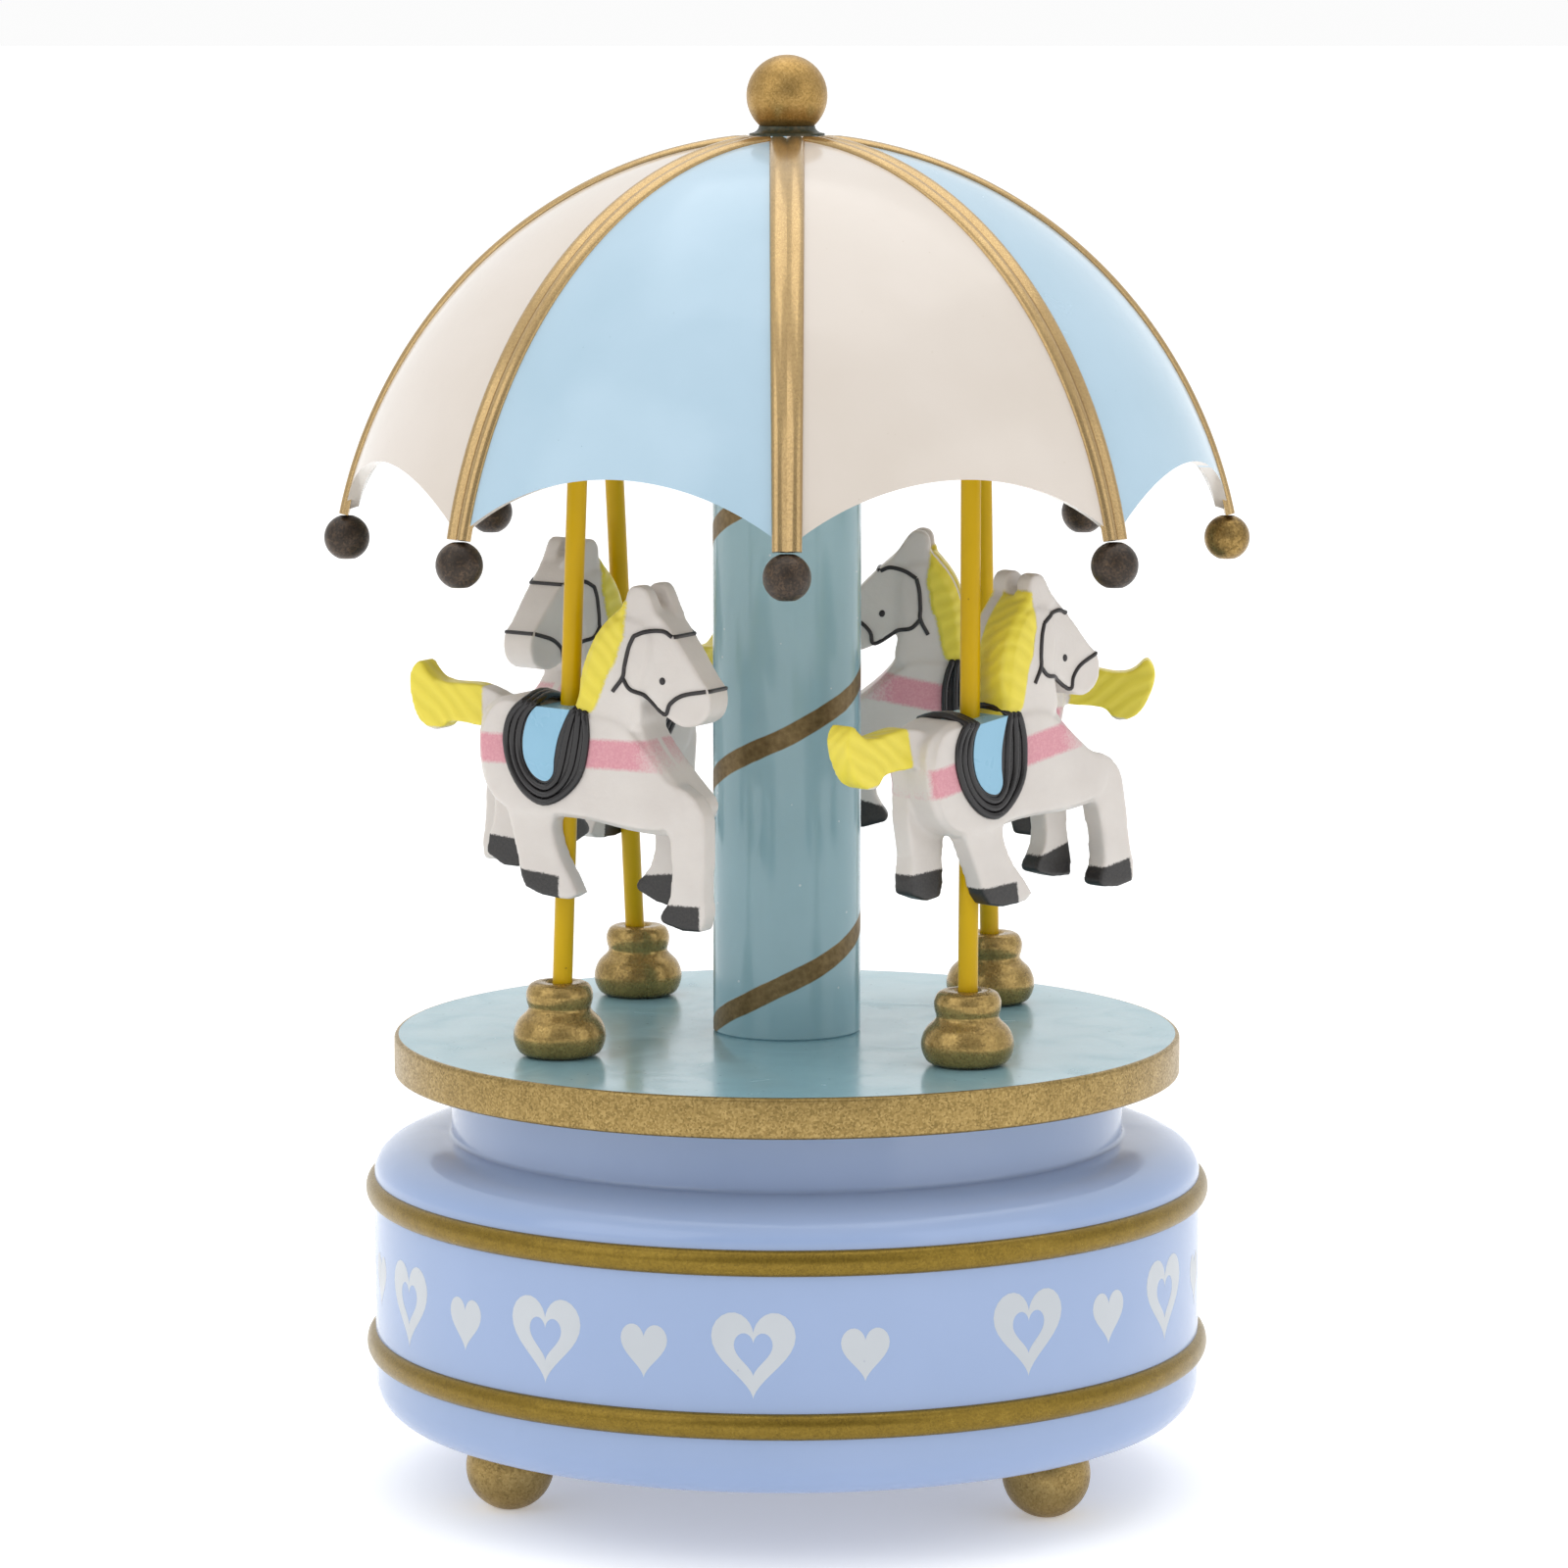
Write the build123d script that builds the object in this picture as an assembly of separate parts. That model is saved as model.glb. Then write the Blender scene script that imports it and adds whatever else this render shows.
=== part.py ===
from build123d import *
from math import asin, cos, degrees, pi, radians, sin, sqrt
import os

# Carousel music box, millimetres.  The origin is on the table under the centre of the
# base, +Z is up and the front of the base faces -Y.  Azimuths are degrees from the
# front, positive towards +X, so they grow counter-clockwise seen from above.

# ---- overall sizes ----
overall_height = 180.0
base_radius = 52.2            # wall of the base between its two raised bands
canopy_radius = 57.4          # where the ribs of the canopy would reach their widest
column_radius = 9.3
pole_ring_radius = 34.0

# ---- fits ----
running_fit = 0.05            # radial, a shaft in its bearing
loose_fit = 0.3               # a loose piece in its recess
thread_engagement = 4.0

# ---- feet and base ----
foot_radius = 5.5
foot_flat_radius = 1.6
foot_inset = 13.6             # centres of the feet inside the wall of the base
foot_azimuths = {"foot_front_left": -63.5, "foot_front_right": 56.5, "foot_back": 176.5}
base_underside = 9.3
base_corner = 4.6
base_wall = 2.4
base_top = 51.7
shoulder_start = 40.2
shoulder_height = 4.5
shoulder_width = 8.8
neck_step = 1.0
band_height = 3.2
band_proud = 1.1
band_edge = 0.4
lower_band_height = 18.3
upper_band_height = 38.1
cover_thickness = 2.4
cover_boss_radius = 2.8
cover_screw_azimuths = (30.0, 150.0, 270.0)

# ---- turntable ----
turntable_gap = 0.75
turntable_thickness = 5.05
turntable_inset = 2.6
turntable_edge = 0.5
hub_plate_radius = 11.0
hub_plate_thickness = 1.6
hub_boss_radius = 4.6
hub_screw_ring = 7.8
turntable_skin = 1.2          # wood left above the hub boss and the screw points
arbor_end_gap = 0.8           # metal of the hub boss left above the end of the arbor

# ---- column ----
column_wall = 1.5
foot_plug_height = 8.0
head_plug_height = 10.0

# ---- canopy ----
canopy_rise = 60.5            # from the widest level up to the top of the ribs
canopy_skirt = 13.2           # from the widest level up to the rib tips
panel_count = 8
panel_thickness = 1.5
rib_proud = 0.7
rib_width_top = 4.3
rib_width_rim = 3.5
scallop_rise = 7.8
crown_radius = 5.2
crown_boss_lip = 1.7          # seat pad wider than the column
bead_radius = 2.85
bead_gap = 0.15
peg_radius = 0.9
peg_length = 4.3
column_seat_depth = 3.5       # top of the column below the top of the canopy

# ---- finial ----
finial_radius = 5.05
collar_height = 1.2
collar_foot_radius = 4.7
collar_top_radius = 3.5
finial_flat_height = 3.75     # ball centre above its flat underside
finial_pin_radius = 1.2

# ---- poles, cups and horses, in order front left, front right, back right, back left ----
cup_azimuths = (-55.5, 40.5, 129.0, -145.0)
socket_azimuths = (-46.0, 41.0, 133.5, -136.0)
horse_headings = (-27.0, 42.0, 177.0, 230.0)     # degrees from +X, counter-clockwise
horse_pitches = (0.0, 11.0, 11.0, 6.0)           # nose up, about the saddle
saddle_shares = (0.6616, 0.6463, 0.6707, 0.6707) # of the clear height under the canopy
pole_radius = 1.22
pole_depth = 3.0
socket_radius = 2.6
socket_length = 6.0
pole_end_gap = 2.2            # the pole stops this far below the panel
cup_height = 9.2
cup_foot_radius = 4.0
cup_belly_radius = 5.7
cup_waist_radius = 3.8
cup_lip_radius = 4.1
cup_top_radius = 3.1
drawn_opening = 68.3          # clear height for which the horse outlines below are full size
horse_thickness = 8.0
leg_thickness = 3.3
leg_splay = 0.8               # each leg's inner face from the middle plane
saddle_proud = 0.6
tail_thickness = 3.0

# ---- musical movement, hung under the top wall of the base ----
arbor_radius = 2.0
bush_radius = 3.5
bush_flange_radius = 5.5
bush_flange_height = 0.55
standoff_length = 10.3
standoff_radius = 2.2
standoff_places = ((-13.0, 14.0), (-13.0, -14.0), (9.0, 17.0), (9.0, -17.0))
bedplate_thickness = 3.0
bedplate_left, bedplate_right, bedplate_half_width = -16.0, 34.5, 20.0
bedplate_corner = 4.0
housing_radius = 11.0
housing_wall = 0.8
housing_height = 8.4
housing_flange = 4.0
mainspring_turns = 5
mainspring_strip = 0.3
crown_module = 0.6
crown_teeth = 30
pinion_teeth = 10
crown_face = 1.8              # radial length of a tooth of the drive wheel
crown_thickness = 1.5
crown_gap = 0.5               # drive wheel below the bedplate
bearing_thickness = 1.4
bearing_radius = 3.0
cylinder_radius = 6.0
cylinder_length = 14.0
cylinder_wall = 0.8
pin_radius = 0.3
pin_height = 0.8
note_count = 14
comb_thickness = 1.0
comb_tooth_length = 8.0
comb_heel_length = 5.0
comb_tip_gap = 0.25
spacing = 0.6                 # end play and air between neighbours on one shaft
shaft_radius = 0.8
gear_module = 0.4
gear_teeth = 27
gear_pinion_teeth = 9
gear_width = 1.6
worm_module = 0.5
worm_wheel_teeth = 16
worm_wheel_width = 1.2
worm_pitch_radius = 1.3
worm_core_radius = 0.75
worm_turns = 5
brake_radius = 5.0
brake_height = 5.0
brake_thickness = 0.4
bracket_thickness = 1.2
bracket_width = 5.0
bracket_tab_reach = 12.0      # from the spindle to the far end of the tab
bracket_tab_width = 3.4
bracket_screw_reaches = (10.0, 5.5)

# ---- screws ----
small_screw = {"shank": 0.9, "head": 1.7, "head_height": 0.9}
cover_screw = {"shank": 1.1, "head": 2.1, "head_height": 1.1}

# ---- levels and places worked out from the sizes above ----
cover_top = base_underside + cover_thickness
base_inner_radius = base_radius - base_wall
neck_radius = base_radius - shoulder_width - neck_step
neck_inner_radius = neck_radius - base_wall
shoulder_end = shoulder_start + shoulder_height
opening_radius = base_radius - base_corner - base_wall + 0.2
foot_ring_radius = base_radius - foot_inset
ceiling = base_top - base_wall
turntable_bottom = base_top + turntable_gap
turntable_top = turntable_bottom + turntable_thickness
turntable_radius = base_radius - turntable_inset
hub_top = turntable_top - turntable_skin
finial_centre = overall_height - finial_radius
collar_top = finial_centre - finial_flat_height
canopy_top = collar_top - collar_height
canopy_crest = canopy_top + 0.4                  # top of the rib ellipse
canopy_centre = canopy_crest - canopy_rise
rim_level = canopy_centre + canopy_skirt
canopy_inner_radius = canopy_radius - rib_proud - panel_thickness
canopy_inner_rise = canopy_rise - rib_proud - panel_thickness
column_top = canopy_top - column_seat_depth
rim_radius = canopy_radius * sqrt(1 - (canopy_skirt / canopy_rise) ** 2)
bead_ring_radius = rim_radius - rib_proud / 2 - panel_thickness / 2 + 0.2
bead_level = rim_level - bead_gap - bead_radius
peg_top = rim_level + 0.8
clear_opening = rim_level - turntable_top
horse_scale = clear_opening / drawn_opening
bedplate_top = ceiling - standoff_length
bedplate_bottom = bedplate_top - bedplate_thickness
crown_top = bedplate_bottom - crown_gap
crown_pitch_radius = crown_module * crown_teeth / 2
crown_outer_radius = crown_pitch_radius + crown_face / 2
crown_addendum = 0.8 * crown_module
crown_dedendum = 1.1 * crown_module
crown_pitch_level = crown_top - crown_thickness - crown_dedendum
shaft_level = crown_pitch_level - crown_module * pinion_teeth / 2
inner_bearing_x = crown_outer_radius + spacing
cylinder_x = inner_bearing_x + bearing_thickness + spacing
gear_x = cylinder_x + cylinder_length + spacing
outer_bearing_x = gear_x + gear_width + spacing
worm_wheel_x = outer_bearing_x + bearing_thickness + spacing
worm_x = worm_wheel_x + worm_wheel_width / 2
governor_y = -gear_module * (gear_teeth + gear_pinion_teeth) / 2
worm_y = governor_y - worm_module * worm_wheel_teeth / 2 - worm_pitch_radius
worm_length = worm_turns * pi * worm_module
brake_top = shaft_level - worm_length / 2 - 1.0
bracket_arm_top = brake_top - brake_height - 1.0
comb_tip_y = cylinder_radius + pin_height + comb_tip_gap
comb_heel_y = comb_tip_y + comb_tooth_length
comb_screw_y = comb_heel_y + comb_heel_length / 2
comb_screw_places = [(cylinder_x + cylinder_length * share, comb_screw_y) for share in (0.25, 0.75)]
bracket_leg_y = worm_y - brake_radius - 0.6
bracket_screw_places = [(worm_x - reach, bracket_leg_y + bracket_tab_width / 2 - 0.1)
                        for reach in bracket_screw_reaches]
# the thread starts at its lowest level on +X; the wheel tooth meets it on +Y at shaft level,
# so the rest turn puts the middle of a groove there
worm_rest_turn = 90 - 360 * ((worm_turns / 2 + 0.5) % 1)


def polar(radius, azimuth, level=0.0):
    """Point at an azimuth measured from the front."""
    return Vector(radius * sin(radians(azimuth)), -radius * cos(radians(azimuth)), level)


def post(radius, low, high, x=0.0, y=0.0):
    """Upright cylinder between two levels."""
    cylinder = Cylinder(radius, high - low, align=(Align.CENTER, Align.CENTER, Align.MIN))
    return Pos(x, y, low) * cylinder


def rod(radius, start, end):
    """Cylinder from one point to another."""
    direction = end - start
    plane = Plane(origin=start, z_dir=direction)
    return plane * Cylinder(radius, direction.length, align=(Align.CENTER, Align.CENTER, Align.MIN))


def shaft_rod(radius, x_start, x_end, y, level):
    """Cylinder along X."""
    return rod(radius, Vector(x_start, y, level), Vector(x_end, y, level))


def turned(*points):
    """Solid of revolution about Z from (radius, level) corners."""
    return revolve(Plane.XZ * make_face(Polyline(*points, close=True)), Axis.Z)


def block(x_low, x_high, y_low, y_high, z_low, z_high):
    box = Box(x_high - x_low, y_high - y_low, z_high - z_low, align=(Align.MIN,) * 3)
    return Pos(x_low, y_low, z_low) * box


def screw(size, seat, length, up=True):
    """Pan-head screw on the Z axis: the head bears on the seat level, the shank enters."""
    way = 1 if up else -1
    head_end = seat - way * size["head_height"]
    shank_end = seat + way * length
    head = post(size["head"], min(seat, head_end), max(seat, head_end))
    return head + post(size["shank"], min(seat, shank_end), max(seat, shank_end))


def placed(shape, places):
    """Copies of a shape at (x, y) places, as separate solids."""
    return Compound(children=[Pos(x, y, 0) * shape for x, y in places])


def cut_posts(shape, radius, low, high, places):
    for x, y in places:
        shape = shape - post(radius, low, high, x, y)
    return shape


def gear_outline(teeth, module, tooth_at=0.0):
    """Straight-flanked stub teeth, with room between them for easy running."""
    pitch = 360 / teeth
    root, tip = module * (teeth / 2 - 1.15), module * (teeth / 2 + 0.75)
    points = []
    for tooth in range(teeth):
        middle = tooth_at + tooth * pitch
        for radius, offset in ((root, -0.26), (tip, -0.10), (tip, 0.10), (root, 0.26)):
            angle = radians(middle + offset * pitch)
            points.append((radius * cos(angle), radius * sin(angle)))
    return make_face(Polyline(*points, close=True))


def cross_shaft_gear(teeth, module, width, x, y, tooth_at):
    """Gear whose shaft lies along X; angles run from +Y towards +Z."""
    plane = Plane(origin=(x, y, shaft_level), x_dir=(0, 1, 0), z_dir=(1, 0, 0))
    return plane * extrude(gear_outline(teeth, module, tooth_at), width)


cup_points = [polar(pole_ring_radius, azimuth, turntable_top) for azimuth in cup_azimuths]
socket_top = canopy_centre + canopy_inner_rise * sqrt(1 - (pole_ring_radius / canopy_inner_radius) ** 2)
socket_points = [polar(pole_ring_radius, azimuth, socket_top) for azimuth in socket_azimuths]
cover_screw_ring = opening_radius - cover_boss_radius - 0.2
cover_screw_places = [tuple(polar(cover_screw_ring, a))[:2] for a in cover_screw_azimuths]
foot_places = [tuple(polar(foot_ring_radius, a))[:2] for a in foot_azimuths.values()]
hub_screw_places = [tuple(polar(hub_screw_ring, a))[:2] for a in (0, 120, 240)]
housing_screw_ring = housing_radius + housing_flange / 2
housing_screw_places = [tuple(polar(housing_screw_ring, a))[:2] for a in (-90, 0, 180)]


def pole_point(index, level):
    """Where a leaning pole's axis is at a level."""
    low, high = cup_points[index], socket_points[index]
    return low + (high - low) * ((level - low.Z) / (high.Z - low.Z))


# ---------------------------------------------------------------- base and feet

def make_base_shell():
    """Moulded case: round lower edge, two raised bands, domed shoulder, short neck."""
    low, inner = base_underside, base_inner_radius
    corner_centre = low + base_corner
    neck_foot = neck_radius + neck_step
    outline = [
        Line((opening_radius, cover_top), (opening_radius, low)),
        Line((opening_radius, low), (base_radius - base_corner, low)),
        CenterArc((base_radius - base_corner, corner_centre), base_corner, 270, 90),
        Line((base_radius, corner_centre), (base_radius, shoulder_start)),
        EllipticalCenterArc((neck_foot, shoulder_start), shoulder_width, shoulder_height,
                            start_angle=0, arc_size=90),
        Line((neck_foot, shoulder_end), (neck_radius, shoulder_end)),
        Line((neck_radius, shoulder_end), (neck_radius, base_top)),
        Line((neck_radius, base_top), (0, base_top)),
        Line((0, base_top), (0, ceiling)),
        Line((0, ceiling), (neck_inner_radius, ceiling)),
        Line((neck_inner_radius, ceiling), (neck_inner_radius, shoulder_end - base_wall)),
        Line((neck_inner_radius, shoulder_end - base_wall), (inner, shoulder_start - base_wall)),
        Line((inner, shoulder_start - base_wall), (inner, corner_centre)),
        CenterArc((base_radius - base_corner, corner_centre), base_corner - base_wall, 0, -90),
        Line((base_radius - base_corner, cover_top), (opening_radius, cover_top)),
    ]
    shell = revolve(Plane.XZ * make_face(Wire(outline)), Axis.Z)
    for level in (lower_band_height, upper_band_height):
        half, crest = band_height / 2, base_radius + band_proud
        band = turned((inner + 1, level - half), (crest - band_edge, level - half),
                      (crest, level - half + band_edge), (crest, level + half - band_edge),
                      (crest - band_edge, level + half), (inner + 1, level + half))
        shell += band
    for x, y in cover_screw_places:
        boss = post(cover_boss_radius, cover_top, shoulder_end - base_wall + 0.6, x, y)
        shell += boss - post(cover_screw["shank"], cover_top, cover_top + thread_engagement, x, y)
    for x, y in standoff_places:
        standoff = post(standoff_radius, bedplate_top, ceiling + 0.4, x, y)
        hole = post(small_screw["shank"], bedplate_top, bedplate_top + thread_engagement, x, y)
        shell += standoff - hole
    return shell - post(bush_radius, ceiling - 1, base_top + 1)


def make_bottom_cover():
    cover = post(opening_radius - loose_fit, base_underside, cover_top)
    cover = cut_posts(cover, cover_screw["head"], 0, base_underside + cover_screw["head_height"],
                      cover_screw_places)
    cover = cut_posts(cover, cover_screw["shank"], 0, cover_top + 1, cover_screw_places)
    return cut_posts(cover, small_screw["shank"], 0, cover_top + 1, foot_places)


def make_foot():
    """Turned ball with a small flat underneath and a flat top against the cover."""
    centre = sqrt(foot_radius ** 2 - foot_flat_radius ** 2)
    ball = Pos(0, 0, centre) * Sphere(foot_radius)
    ball = ball & post(foot_radius, 0, base_underside)
    return ball - post(small_screw["shank"], base_underside - thread_engagement, base_underside)


def make_neck_bush():
    """Flanged bearing in the top wall, with a thrust face for the hub plate."""
    bush = post(bush_radius, ceiling, base_top) \
        + post(bush_flange_radius, base_top, base_top + bush_flange_height)
    return bush - post(arbor_radius + running_fit, ceiling - 1, base_top + 1)


# ---------------------------------------------------------------- movement

def bearing_plate(x, places):
    """Upright lug under the bedplate, bored for shafts along X."""
    ys = [y for y, _ in places]
    plate = block(x, x + bearing_thickness, min(ys) - bearing_radius, max(ys) + bearing_radius,
                  shaft_level - bearing_radius, bedplate_bottom)
    for y, radius in places:
        plate -= shaft_rod(radius + running_fit, x - 1, x + bearing_thickness + 1, y, shaft_level)
    return plate


def make_bedplate():
    """Die-cast plate with a window for the cylinder, two bearing lugs and the comb rail."""
    length = bedplate_right - bedplate_left
    outline = RectangleRounded(length, 2 * bedplate_half_width, bedplate_corner)
    middle = (bedplate_left + bedplate_right) / 2
    plate = Pos(middle, 0, bedplate_bottom) * extrude(outline, bedplate_thickness)
    reach = cylinder_radius + pin_height + 0.5
    plate -= block(cylinder_x - 0.4, gear_x + gear_width + 0.4, -reach, reach,
                   bedplate_bottom - 1, bedplate_top + 1)
    plate += bearing_plate(inner_bearing_x, [(0, shaft_radius)])
    plate += bearing_plate(outer_bearing_x, [(0, shaft_radius), (governor_y, shaft_radius)])
    rail = block(cylinder_x, cylinder_x + cylinder_length, comb_heel_y, comb_heel_y + comb_heel_length,
                 shaft_level + comb_thickness / 2, bedplate_bottom)
    plate += rail
    plate -= post(arbor_radius + running_fit, bedplate_bottom - 1, bedplate_top + 1)
    plate = cut_posts(plate, small_screw["shank"], bedplate_bottom - 1, bedplate_top + 1, standoff_places)
    plate = cut_posts(plate, small_screw["shank"], bedplate_bottom - 1, bedplate_top + 1,
                      housing_screw_places)
    plate = cut_posts(plate, small_screw["shank"], shaft_level,
                      shaft_level + comb_thickness / 2 + thread_engagement, comb_screw_places)
    plate = cut_posts(plate, small_screw["shank"], bedplate_bottom - 1, bedplate_top - 0.6,
                      bracket_screw_places)
    return plate - post(shaft_radius + running_fit, bedplate_bottom - 1, bedplate_bottom + 1.6,
                        worm_x, worm_y)


def make_spring_housing():
    """Pressed cup over the spring with a flange screwed to the bedplate."""
    top = bedplate_top + housing_height
    cup = post(housing_radius, bedplate_top, top) \
        + post(housing_radius + housing_flange, bedplate_top, bedplate_top + housing_wall)
    cup -= post(housing_radius - housing_wall, bedplate_top, top - housing_wall)
    cup -= post(arbor_radius + loose_fit, bedplate_top, top + 1)
    return cut_posts(cup, small_screw["shank"], bedplate_top - 1, bedplate_top + 2, housing_screw_places)


def make_mainspring():
    """Flat steel strip wound in a spiral round the arbor."""
    first = arbor_radius + 2 * loose_fit
    last = housing_radius - housing_wall - loose_fit - mainspring_strip
    steps_per_turn = 24
    steps = mainspring_turns * steps_per_turn
    inner_edge, outer_edge = [], []
    for step in range(steps + 1):
        radius = first + (last - first) * step / steps
        angle = 2 * pi * step / steps_per_turn
        inner_edge.append((radius * cos(angle), radius * sin(angle)))
        outer_edge.append(((radius + mainspring_strip) * cos(angle),
                           (radius + mainspring_strip) * sin(angle)))
    strip = make_face(Polyline(*inner_edge, *reversed(outer_edge), close=True))
    return Pos(0, 0, bedplate_top + 1.0) * extrude(strip, housing_height - housing_wall - 2.0)


def make_winding_arbor():
    """Shaft from the drive wheel up through the neck bush into the hub plate."""
    return post(arbor_radius, crown_top - crown_thickness, hub_top - arbor_end_gap)


def make_drive_wheel():
    """Contrate wheel: its teeth stand on the underside and mesh with the cylinder pinion."""
    floor = crown_top - crown_thickness
    wheel = post(crown_outer_radius, floor, crown_top)
    circle_pitch = pi * crown_module
    root, tip = 0.25 * circle_pitch, 0.13 * circle_pitch
    depth = crown_addendum + crown_dedendum
    face = make_face(Polyline((-root, 0.2), (root, 0.2), (root, 0), (tip, -depth), (-tip, -depth),
                              (-root, 0), close=True))
    inner = crown_outer_radius - crown_face
    tooth = Plane(origin=(inner, 0, floor), x_dir=(0, 1, 0), z_dir=(1, 0, 0)) * extrude(face, crown_face)
    wheel += [Rot(0, 0, 360 * number / crown_teeth) * tooth for number in range(crown_teeth)]
    wheel = wheel & post(crown_outer_radius, floor - depth, crown_top)
    return wheel - post(arbor_radius, floor - 1, crown_top + 1)


def make_cylinder_pinion():
    """Ten-leaf pinion under the drive wheel; a gap faces straight up at rest."""
    start = crown_outer_radius - crown_face - 0.1
    tooth_pitch = 360 / pinion_teeth
    width = inner_bearing_x - 0.3 - start
    gear = cross_shaft_gear(pinion_teeth, crown_module, width, start, 0, 90 + tooth_pitch / 2)
    return gear - shaft_rod(shaft_radius, start - 1, start + width + 1, 0, shaft_level)


def make_cylinder_shaft():
    start = crown_outer_radius - crown_face - 0.6
    return shaft_rod(shaft_radius, start, outer_bearing_x + bearing_thickness + 0.3, 0, shaft_level)


def make_music_cylinder():
    """Thin drum on two end plates, studded with the pins of the tune."""
    end = cylinder_x + cylinder_length
    drum = shaft_rod(cylinder_radius, cylinder_x, end, 0, shaft_level)
    drum -= shaft_rod(cylinder_radius - cylinder_wall, cylinder_x + 1, end - 1, 0, shaft_level)
    drum -= shaft_rod(shaft_radius, cylinder_x - 1, end + 1, 0, shaft_level)
    centre = Vector(0, 0, shaft_level)
    for note in range(note_count):
        x = cylinder_x + cylinder_length * (note + 0.5) / note_count
        for beat in range(3):
            turn = radians(24 * ((note * 5 + beat * 6) % 15) + 12)
            way = Vector(0, cos(turn), sin(turn))
            foot = Vector(x, 0, 0) + centre + way * (cylinder_radius - cylinder_wall / 2)
            drum += rod(pin_radius, foot, foot + way * (pin_height + cylinder_wall / 2))
    return drum


def make_cylinder_gear():
    gear = cross_shaft_gear(gear_teeth, gear_module, gear_width, gear_x, 0, 180)
    return gear - shaft_rod(shaft_radius, gear_x - 1, gear_x + gear_width + 1, 0, shaft_level)


def make_comb():
    """Steel comb: one tuned tooth for each note, stopping just short of the pins."""
    low, high = shaft_level - comb_thickness / 2, shaft_level + comb_thickness / 2
    comb = block(cylinder_x, cylinder_x + cylinder_length, comb_heel_y, comb_heel_y + comb_heel_length,
                 low, high)
    pitch = cylinder_length / note_count
    for note in range(note_count):
        middle = cylinder_x + pitch * (note + 0.5)
        comb += block(middle - 0.36 * pitch, middle + 0.36 * pitch, comb_tip_y, comb_heel_y + 0.1,
                      low + 0.3, high - 0.1)
    return cut_posts(comb, small_screw["shank"], low - 1, high + 1, comb_screw_places)


def make_governor_shaft():
    return shaft_rod(shaft_radius, gear_x - 0.3, worm_wheel_x + worm_wheel_width + 0.3,
                     governor_y, shaft_level)


def make_governor_pinion():
    half_pitch = 180 / gear_pinion_teeth
    gear = cross_shaft_gear(gear_pinion_teeth, gear_module, gear_width, gear_x, governor_y, half_pitch)
    return gear - shaft_rod(shaft_radius, gear_x - 1, gear_x + gear_width + 1, governor_y, shaft_level)


def make_worm_wheel():
    """Teeth towards the worm stand symmetric about the line of centres."""
    gear = cross_shaft_gear(worm_wheel_teeth, worm_module, worm_wheel_width, worm_wheel_x, governor_y, 180)
    return gear - shaft_rod(shaft_radius, worm_wheel_x - 1, worm_wheel_x + worm_wheel_width + 1,
                            governor_y, shaft_level)


def make_governor_worm():
    """Single right-handed thread on a thin upright spindle."""
    lead = pi * worm_module
    low = shaft_level - worm_length / 2
    tip_radius = worm_pitch_radius + 0.7 * worm_module
    base, crest = 0.26 * lead, 0.11 * lead
    helix = Helix(lead, worm_length, worm_core_radius)
    section = Plane(origin=(worm_core_radius, 0, 0), x_dir=(1, 0, 0), z_dir=(0, -1, 0)) * make_face(
        Polyline((-0.15, -base), (tip_radius - worm_core_radius, -crest),
                 (tip_radius - worm_core_radius, crest), (-0.15, base), close=True))
    thread = sweep(section, path=helix, is_frenet=True)
    # the groove, not the ridge, faces the wheel tooth at rest
    thread = Pos(worm_x, worm_y, low) * Rot(0, 0, worm_rest_turn) * thread
    spindle = post(worm_core_radius, bracket_arm_top - bracket_thickness, bedplate_bottom + 1.2,
                   worm_x, worm_y)
    return spindle + thread


def make_air_brake():
    """Two light paddles on a collar that slow the spindle."""
    low = brake_top - brake_height
    collar = post(worm_core_radius + 0.9, low, brake_top, worm_x, worm_y)
    paddles = Box(2 * brake_radius, brake_thickness, brake_height)
    paddles = Pos(worm_x, worm_y, (low + brake_top) / 2) * paddles
    return collar + paddles - post(worm_core_radius, low - 1, brake_top + 1, worm_x, worm_y)


def make_governor_bracket():
    """Bent strip: a tab under the bedplate, a leg past the brake and an arm with the pivot."""
    half = bracket_width / 2
    tab_high, arm_low = bedplate_bottom, bracket_arm_top - bracket_thickness
    outer = bracket_leg_y - bracket_thickness
    leg = block(worm_x - half, worm_x + half, outer, bracket_leg_y, arm_low, tab_high)
    tab = block(worm_x - bracket_tab_reach, worm_x + half, outer, bracket_leg_y + bracket_tab_width,
                tab_high - bracket_thickness, tab_high)
    arm = block(worm_x - half, worm_x + half, outer, worm_y + 2.4, arm_low, bracket_arm_top)
    bracket = cut_posts(leg + tab + arm, small_screw["shank"], tab_high - 4, tab_high + 1,
                        bracket_screw_places)
    return bracket - post(worm_core_radius + running_fit, arm_low - 1, bracket_arm_top + 1, worm_x, worm_y)


# ---------------------------------------------------------------- turntable and column

def make_turntable():
    """Wooden disc with drilled holes for the poles and a recess for the hub plate."""
    disc = post(turntable_radius, turntable_bottom, turntable_top)
    disc = chamfer(disc.edges().filter_by(GeomType.CIRCLE), turntable_edge)
    disc -= post(hub_plate_radius + 0.1, turntable_bottom - 1, turntable_bottom + hub_plate_thickness)
    disc -= post(hub_boss_radius, turntable_bottom - 1, turntable_top + 1)
    for index in range(len(cup_points)):
        disc -= rod(pole_radius, pole_point(index, turntable_top - pole_depth),
                    pole_point(index, turntable_top + 1))
    return cut_posts(disc, small_screw["shank"], turntable_bottom, hub_top, hub_screw_places)


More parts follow.
